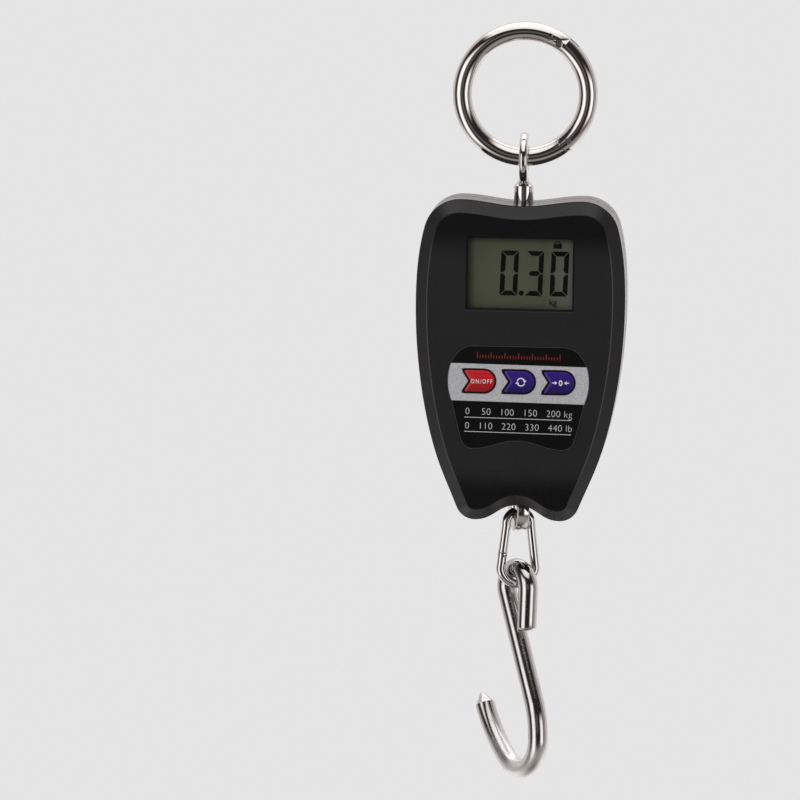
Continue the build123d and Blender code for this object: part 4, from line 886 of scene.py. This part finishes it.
# A key stands in its opening with straight sides, and its front edge is domed in four steps of (lift, inset).
key_gap, key_root, dome_start = 0.00015, 0.0012, 0.00045
dome_steps = ((0.00026, 0.00020), (0.00012, 0.00032), (0.00003, 0.00050), (0.0, 0.00072))
borders = []
for name, body, material, slot in (("key_on_off", "on_off_key", red_rubber, "key_red"),
                                   ("key_unit", "unit_key", indigo_unit, "key_indigo"),
                                   ("key_zero", "zero_key", indigo_zero, "key_indigo")):
    low, high = front_box(name)
    side = key_outline(low, high, -key_gap, 0.00050)
    loops = [(side, label_face + key_root), (side, low.y + dome_start)]
    loops += [(key_outline(low, high, -inset, 0.00055), low.y + lift) for lift, inset in dome_steps]
    made = piece(name + "_rubber", stack(name + "_rubber", loops, capped=True, sharp=50.0), body, material)
    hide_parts(name)
    front, back = label_face - print_depth, label_face + 0.00001
    outer, inner = (key_outline(low, high, grow, tip) for grow, tip in ((0.00055, 0.0009), (0.00010, 0.0005)))
    frame_loops = [(outer, back), (outer, front), (inner, front), (inner, back), (outer, back)]
    borders.append(stack(name + "_border", frame_loops, capped=False))
piece("key_borders", joined("key_borders", borders), "case", border_black)


def tick_row(name, count, pitch, width, short, tall, every, material):
    """Upright ticks side by side, the first and every so many after it taller, made by geometry nodes."""
    tree = bpy.data.node_groups.new(name, "GeometryNodeTree")
    tree.interface.new_socket("Geometry", in_out="OUTPUT", socket_type="NodeSocketGeometry")
    wanted = {"Count": ("Int", count), "Pitch": ("Float", pitch), "Width": ("Float", width), "Short": ("Float", short),
              "Tall": ("Float", tall), "Every": ("Int", every)}
    sockets = {key: tree.interface.new_socket(key, in_out="INPUT", socket_type="NodeSocket" + kind)
               for key, (kind, _) in wanted.items()}
    wiring = Wiring(tree)
    given = {key: wiring.node("NodeGroupInput", out=key) for key in wanted}
    offset = wiring.node("ShaderNodeCombineXYZ", None, {0: given["Pitch"]})
    line = wiring.node("GeometryNodeMeshLine", None, {"Count": given["Count"], "Offset": offset})
    is_short = wiring.node("GeometryNodeInputIndex").maths("MODULO", given["Every"]) > 0.5
    height = wiring.node("ShaderNodeMapRange", None, {0: is_short, 1: 0.0, 2: 1.0, 3: given["Tall"], 4: given["Short"]})
    size = wiring.node("ShaderNodeCombineXYZ", None, {0: given["Width"], 1: 0.00005, 2: height})
    block = wiring.node("GeometryNodeMeshCube", None, {"Size": (1.0, 1.0, 1.0)})
    standing = wiring.node("GeometryNodeTransform", None, {"Geometry": block, "Translation": (0.0, 0.0, 0.5)})
    put = wiring.node("GeometryNodeInstanceOnPoints", None, {"Points": line, "Instance": standing, "Scale": size})
    real = wiring.node("GeometryNodeRealizeInstances", None, {0: put})
    painted = wiring.node("GeometryNodeSetMaterial", None, {"Geometry": real, "Material": material})
    wiring.node("NodeGroupOutput", None, {0: painted})
    holder = linked(name, bpy.data.meshes.new(name))
    modifier = holder.modifiers.new(name, "NODES")
    modifier.node_group = tree
    for key, (_, value) in wanted.items():
        modifier[sockets[key].identifier] = value
    return evaluated(holder)


tick_count, tick_pitch = 31, 0.00098
ticks = tick_row("ticks", tick_count, tick_pitch, width=0.00022, short=0.0011, tall=0.0021, every=5, material=red_ink)
first_x, first_z = on_label(-tick_pitch * (tick_count - 1) / 2, 0.0081)
ticks.transform(Matrix.Translation((first_x, label_face, first_z)) @ Matrix.Rotation(label_turn, 4, "Y"))
piece("label_ticks", ticks, "case", red_ink)


# -------- key signs
def sign_middle(name, aside):
    """Middle of a key's front, moved aside from its notch."""
    low, high = front_box(name)
    return ((low.x + high.x) / 2 + aside, (low.z + high.z) / 2)


x, z = sign_middle("key_on_off", 0.0010)
words = lettering("sign_on_off", "ON/OFF", 0.00150, (x, z - 0.00076), key_face, sign_depth, weight=0.004, wide=0.78,
                  spread=1.36)
piece("sign_on_off", words, "on_off_key", key_ink)

x, z = sign_middle("key_unit", 0.0009)
arrows = [ring_arc(x, z, 0.00155, 0.00115, start, start + 140) for start in (20, 200)]
head = ((0.0020, 0.0006), (0.0006, 0.0006), (0.0013, -0.0003))
arrows += [[(x + side * across, z + side * rise) for across, rise in head] for side in (1, -1)]
piece("sign_unit", plates("sign_unit", arrows, key_face, sign_depth), "unit_key", key_ink)

x, z = sign_middle("key_zero", 0.0009)
arrows = []
stem, barb = 0.00018, 0.0007        # half widths of an arrow's stem and of its head
for side in (-1, 1):
    tip, neck, end = (x + side * reach for reach in (0.0012, 0.0021, 0.0030))
    arrows += [[(tip, z), (neck, z + barb), (neck, z - barb)],
               [(neck, z + stem), (end, z + stem), (end, z - stem), (neck, z - stem)]]
parts = [plates("arrows", arrows, key_face, sign_depth),
         lettering("zero", "0", 0.0019, (x, z - 0.00095), key_face, sign_depth, weight=0.02)]
piece("sign_zero", joined("sign_zero", parts), "zero_key", key_ink)


# -------- floor, light and camera
middle = (cad_box[0] + cad_box[1]) / 2


def stage_wall(name, corners, faces, material):
    """Part of the studio around the object."""
    mesh = bpy.data.meshes.new(name)
    mesh.from_pydata(corners, [], faces)
    mesh.materials.append(material)
    wall = linked(name, mesh)
    return wall


def floor_finish(fade_start, fade_end):
    """Pale floor that fades into the backdrop between two distances from the middle."""
    finish = Finish("floor_pale")
    flat = finish.node("ShaderNodeMapping", None, {0: finish.place, 3: (1.0, 1.0, 0.0)})
    away = finish.node("ShaderNodeVectorMath", {"operation": "LENGTH"}, {0: flat}, out=1)
    solid = finish.node("ShaderNodeBsdfPrincipled", None, {"Base Color": grey(0.76), "Roughness": 0.8})
    clear = finish.node("ShaderNodeBsdfTransparent")
    return finish.shaded(finish.node("ShaderNodeMixShader", None,
                                     {0: finish.ramp(away, fade_start, fade_end), 1: solid, 2: clear}))


floor_z = cad_box[0].z - 0.18
floor_half = 1.2
floor_corners = [(i * floor_half, j * floor_half, floor_z) for i, j in ((-1, -1), (1, -1), (1, 1), (-1, 1))]
floor = stage_wall("floor", floor_corners, [(0, 1, 2, 3)], floor_finish(0.35, 0.80))
floor.visible_glossy = False

# Camera, glossy and transmission rays see a brighter backdrop than the one that lights the object.
world = bpy.data.worlds.new("studio")
scene.world = world
world.use_nodes = True
air = Wiring(world.node_tree)
camera_ray, glossy_ray, clear_ray = (air.node("ShaderNodeLightPath", out="Is " + ray + " Ray")
                                     for ray in ("Camera", "Glossy", "Transmission"))
seen = camera_ray.maths("MAXIMUM", glossy_ray).maths("MAXIMUM", clear_ray)
ambient, backdrop = (air.node("ShaderNodeBackground", None, {"Color": grey(tone)}) for tone in (0.45, 0.784))
air.node("ShaderNodeOutputWorld", None,
         {"Surface": air.node("ShaderNodeMixShader", None, {0: seen, 1: ambient, 2: backdrop})})


def softbox(name, place, width, height, watts):
    """Rectangular lamp that faces the object and that reflections don't show."""
    lamp = bpy.data.lights.new(name, "AREA")
    lamp.shape, lamp.size, lamp.size_y, lamp.energy = "RECTANGLE", width, height, watts
    made = linked(name, lamp)
    made.location = place
    made.rotation_euler = (Vector(place) - middle).to_track_quat("Z", "Y").to_euler()
    made.visible_glossy = False


def studio_shade():
    """What polished metal sees in front of the object: strip lights at the sides, a box above, a dim room between."""
    finish = Finish("studio_room")
    place = finish.node("ShaderNodeMapping", None, {0: finish.place, 1: -middle})
    direction = finish.node("ShaderNodeVectorMath", {"operation": "NORMALIZE"}, {0: place})
    across, depth, height = (finish.node("ShaderNodeSeparateXYZ", None, {0: direction}, out=i) for i in range(3))
    degrees = 180.0 / math.pi
    turn = across.maths("ARCTAN2", 0.0 - depth) * degrees
    clock = height.maths("ARCTAN2", across) * degrees
    rise = height.maths("ARCSINE") * degrees

    def between(value, start, full, fade, end):
        """1 from full to fade, falling softly to 0 at start and at end."""
        return finish.soft(value, start, full) * finish.soft(value, end, fade)

    left = between(turn, -73.0, -52.0, -36.0, -15.0) * between(rise, -46.0, -26.0, 16.0, 28.0)
    right = between(turn, 26.0, 44.0, 58.0, 74.0) * between(rise, -28.0, -15.0, 5.0, 19.0)
    top = between(clock, 50.0, 66.0, 122.0, 134.0) * finish.soft(rise, 34.0, 43.0)
    near_side = finish.soft(turn, 68.0, 86.0) * 0.42
    far_side = finish.soft(turn, -82.0, -104.0) * 0.34
    low = between(rise, -88.0, -54.0, -38.0, -21.0) * 0.35
    glow = between(turn, -16.0, -6.0, 5.0, 12.0) * between(rise, -9.0, -2.0, 8.0, 17.0) * 0.12
    behind = finish.soft(abs(turn), 102.0, 114.0) * finish.soft(rise, -62.0, -46.0) * 0.40
    zenith = finish.soft(rise, 60.0, 72.0) * 0.72
    light = 0.030 + left * 1.55 + right * 1.55 + top * 1.3 + near_side + far_side + low + glow + behind + zenith
    light = light.maths("MINIMUM", 1.6)
    colour = finish.blend((1.0, 0.90, 0.86, 1.0), (1.0, 0.98, 0.97, 1.0), finish.ramp(light, 0.1, 1.0))
    shine = finish.node("ShaderNodeVectorMath", {"operation": "SCALE"}, {0: colour, "Scale": light})
    return finish.shaded(finish.node("ShaderNodeEmission", None, {"Color": shine, "Strength": 1.0}))


def dome(name, radius, reach, material):
    """Round wall about the object that only reflections see; it reaches so many degrees to each side of the front."""
    columns, rows, steepest = 40, 30, 89.0
    corners = []
    for j in range(rows + 1):
        rise = math.radians(-steepest + 2 * steepest * j / rows)
        for i in range(columns + 1):
            turn = math.radians(-reach + 2 * reach * i / columns)
            outward = Vector((math.sin(turn) * math.cos(rise), -math.cos(turn) * math.cos(rise), math.sin(rise)))
            corners.append(middle + outward * radius)
    step = columns + 1
    faces = [(k, k + 1, k + step + 1, k + step) for j in range(rows) for k in range(j * step, j * step + columns)]
    wall = stage_wall(name, corners, faces, material)
    for ray in ("camera", "diffuse", "shadow", "transmission"):
        setattr(wall, "visible_" + ray, False)


softbox("lamp_top", (0.0, -0.10, 1.15), width=1.6, height=1.2, watts=9.0)
softbox("lamp_left", (-1.30, -0.45, 0.05), width=0.45, height=1.5, watts=4.2)
softbox("lamp_right", (1.30, -0.45, 0.05), width=0.45, height=1.5, watts=4.2)
dome("studio_room", radius=2.6, reach=180.0, material=studio_shade())

azimuth, elevation, roll = (math.radians(angle) for angle in (4.0, 7.5, 0.8))
distance = 3.2
frame_width = 0.284         # width of what the camera shows at the object
sensor = 36.0
level = Vector((math.cos(azimuth), math.sin(azimuth), 0.0))
toward = Vector((math.sin(azimuth), -math.cos(azimuth), 0.0)) * math.cos(elevation)
toward.z = math.sin(elevation)
upright = toward.cross(level)
across = level * math.cos(roll) + upright * math.sin(roll)
up = upright * math.cos(roll) - level * math.sin(roll)
aim = ring_heart - across * 0.0445 - up * 0.1086        # middle of the view
lens = bpy.data.cameras.new("camera")
lens.sensor_width, lens.lens, lens.clip_start, lens.clip_end = sensor, sensor * distance / frame_width, 0.1, 20.0
camera = linked("camera", lens)
view = Matrix((across, up, toward)).transposed().to_4x4()
view.translation = aim + toward * distance
camera.matrix_world = view
scene.camera = camera
scene.view_settings.view_transform = "Standard"
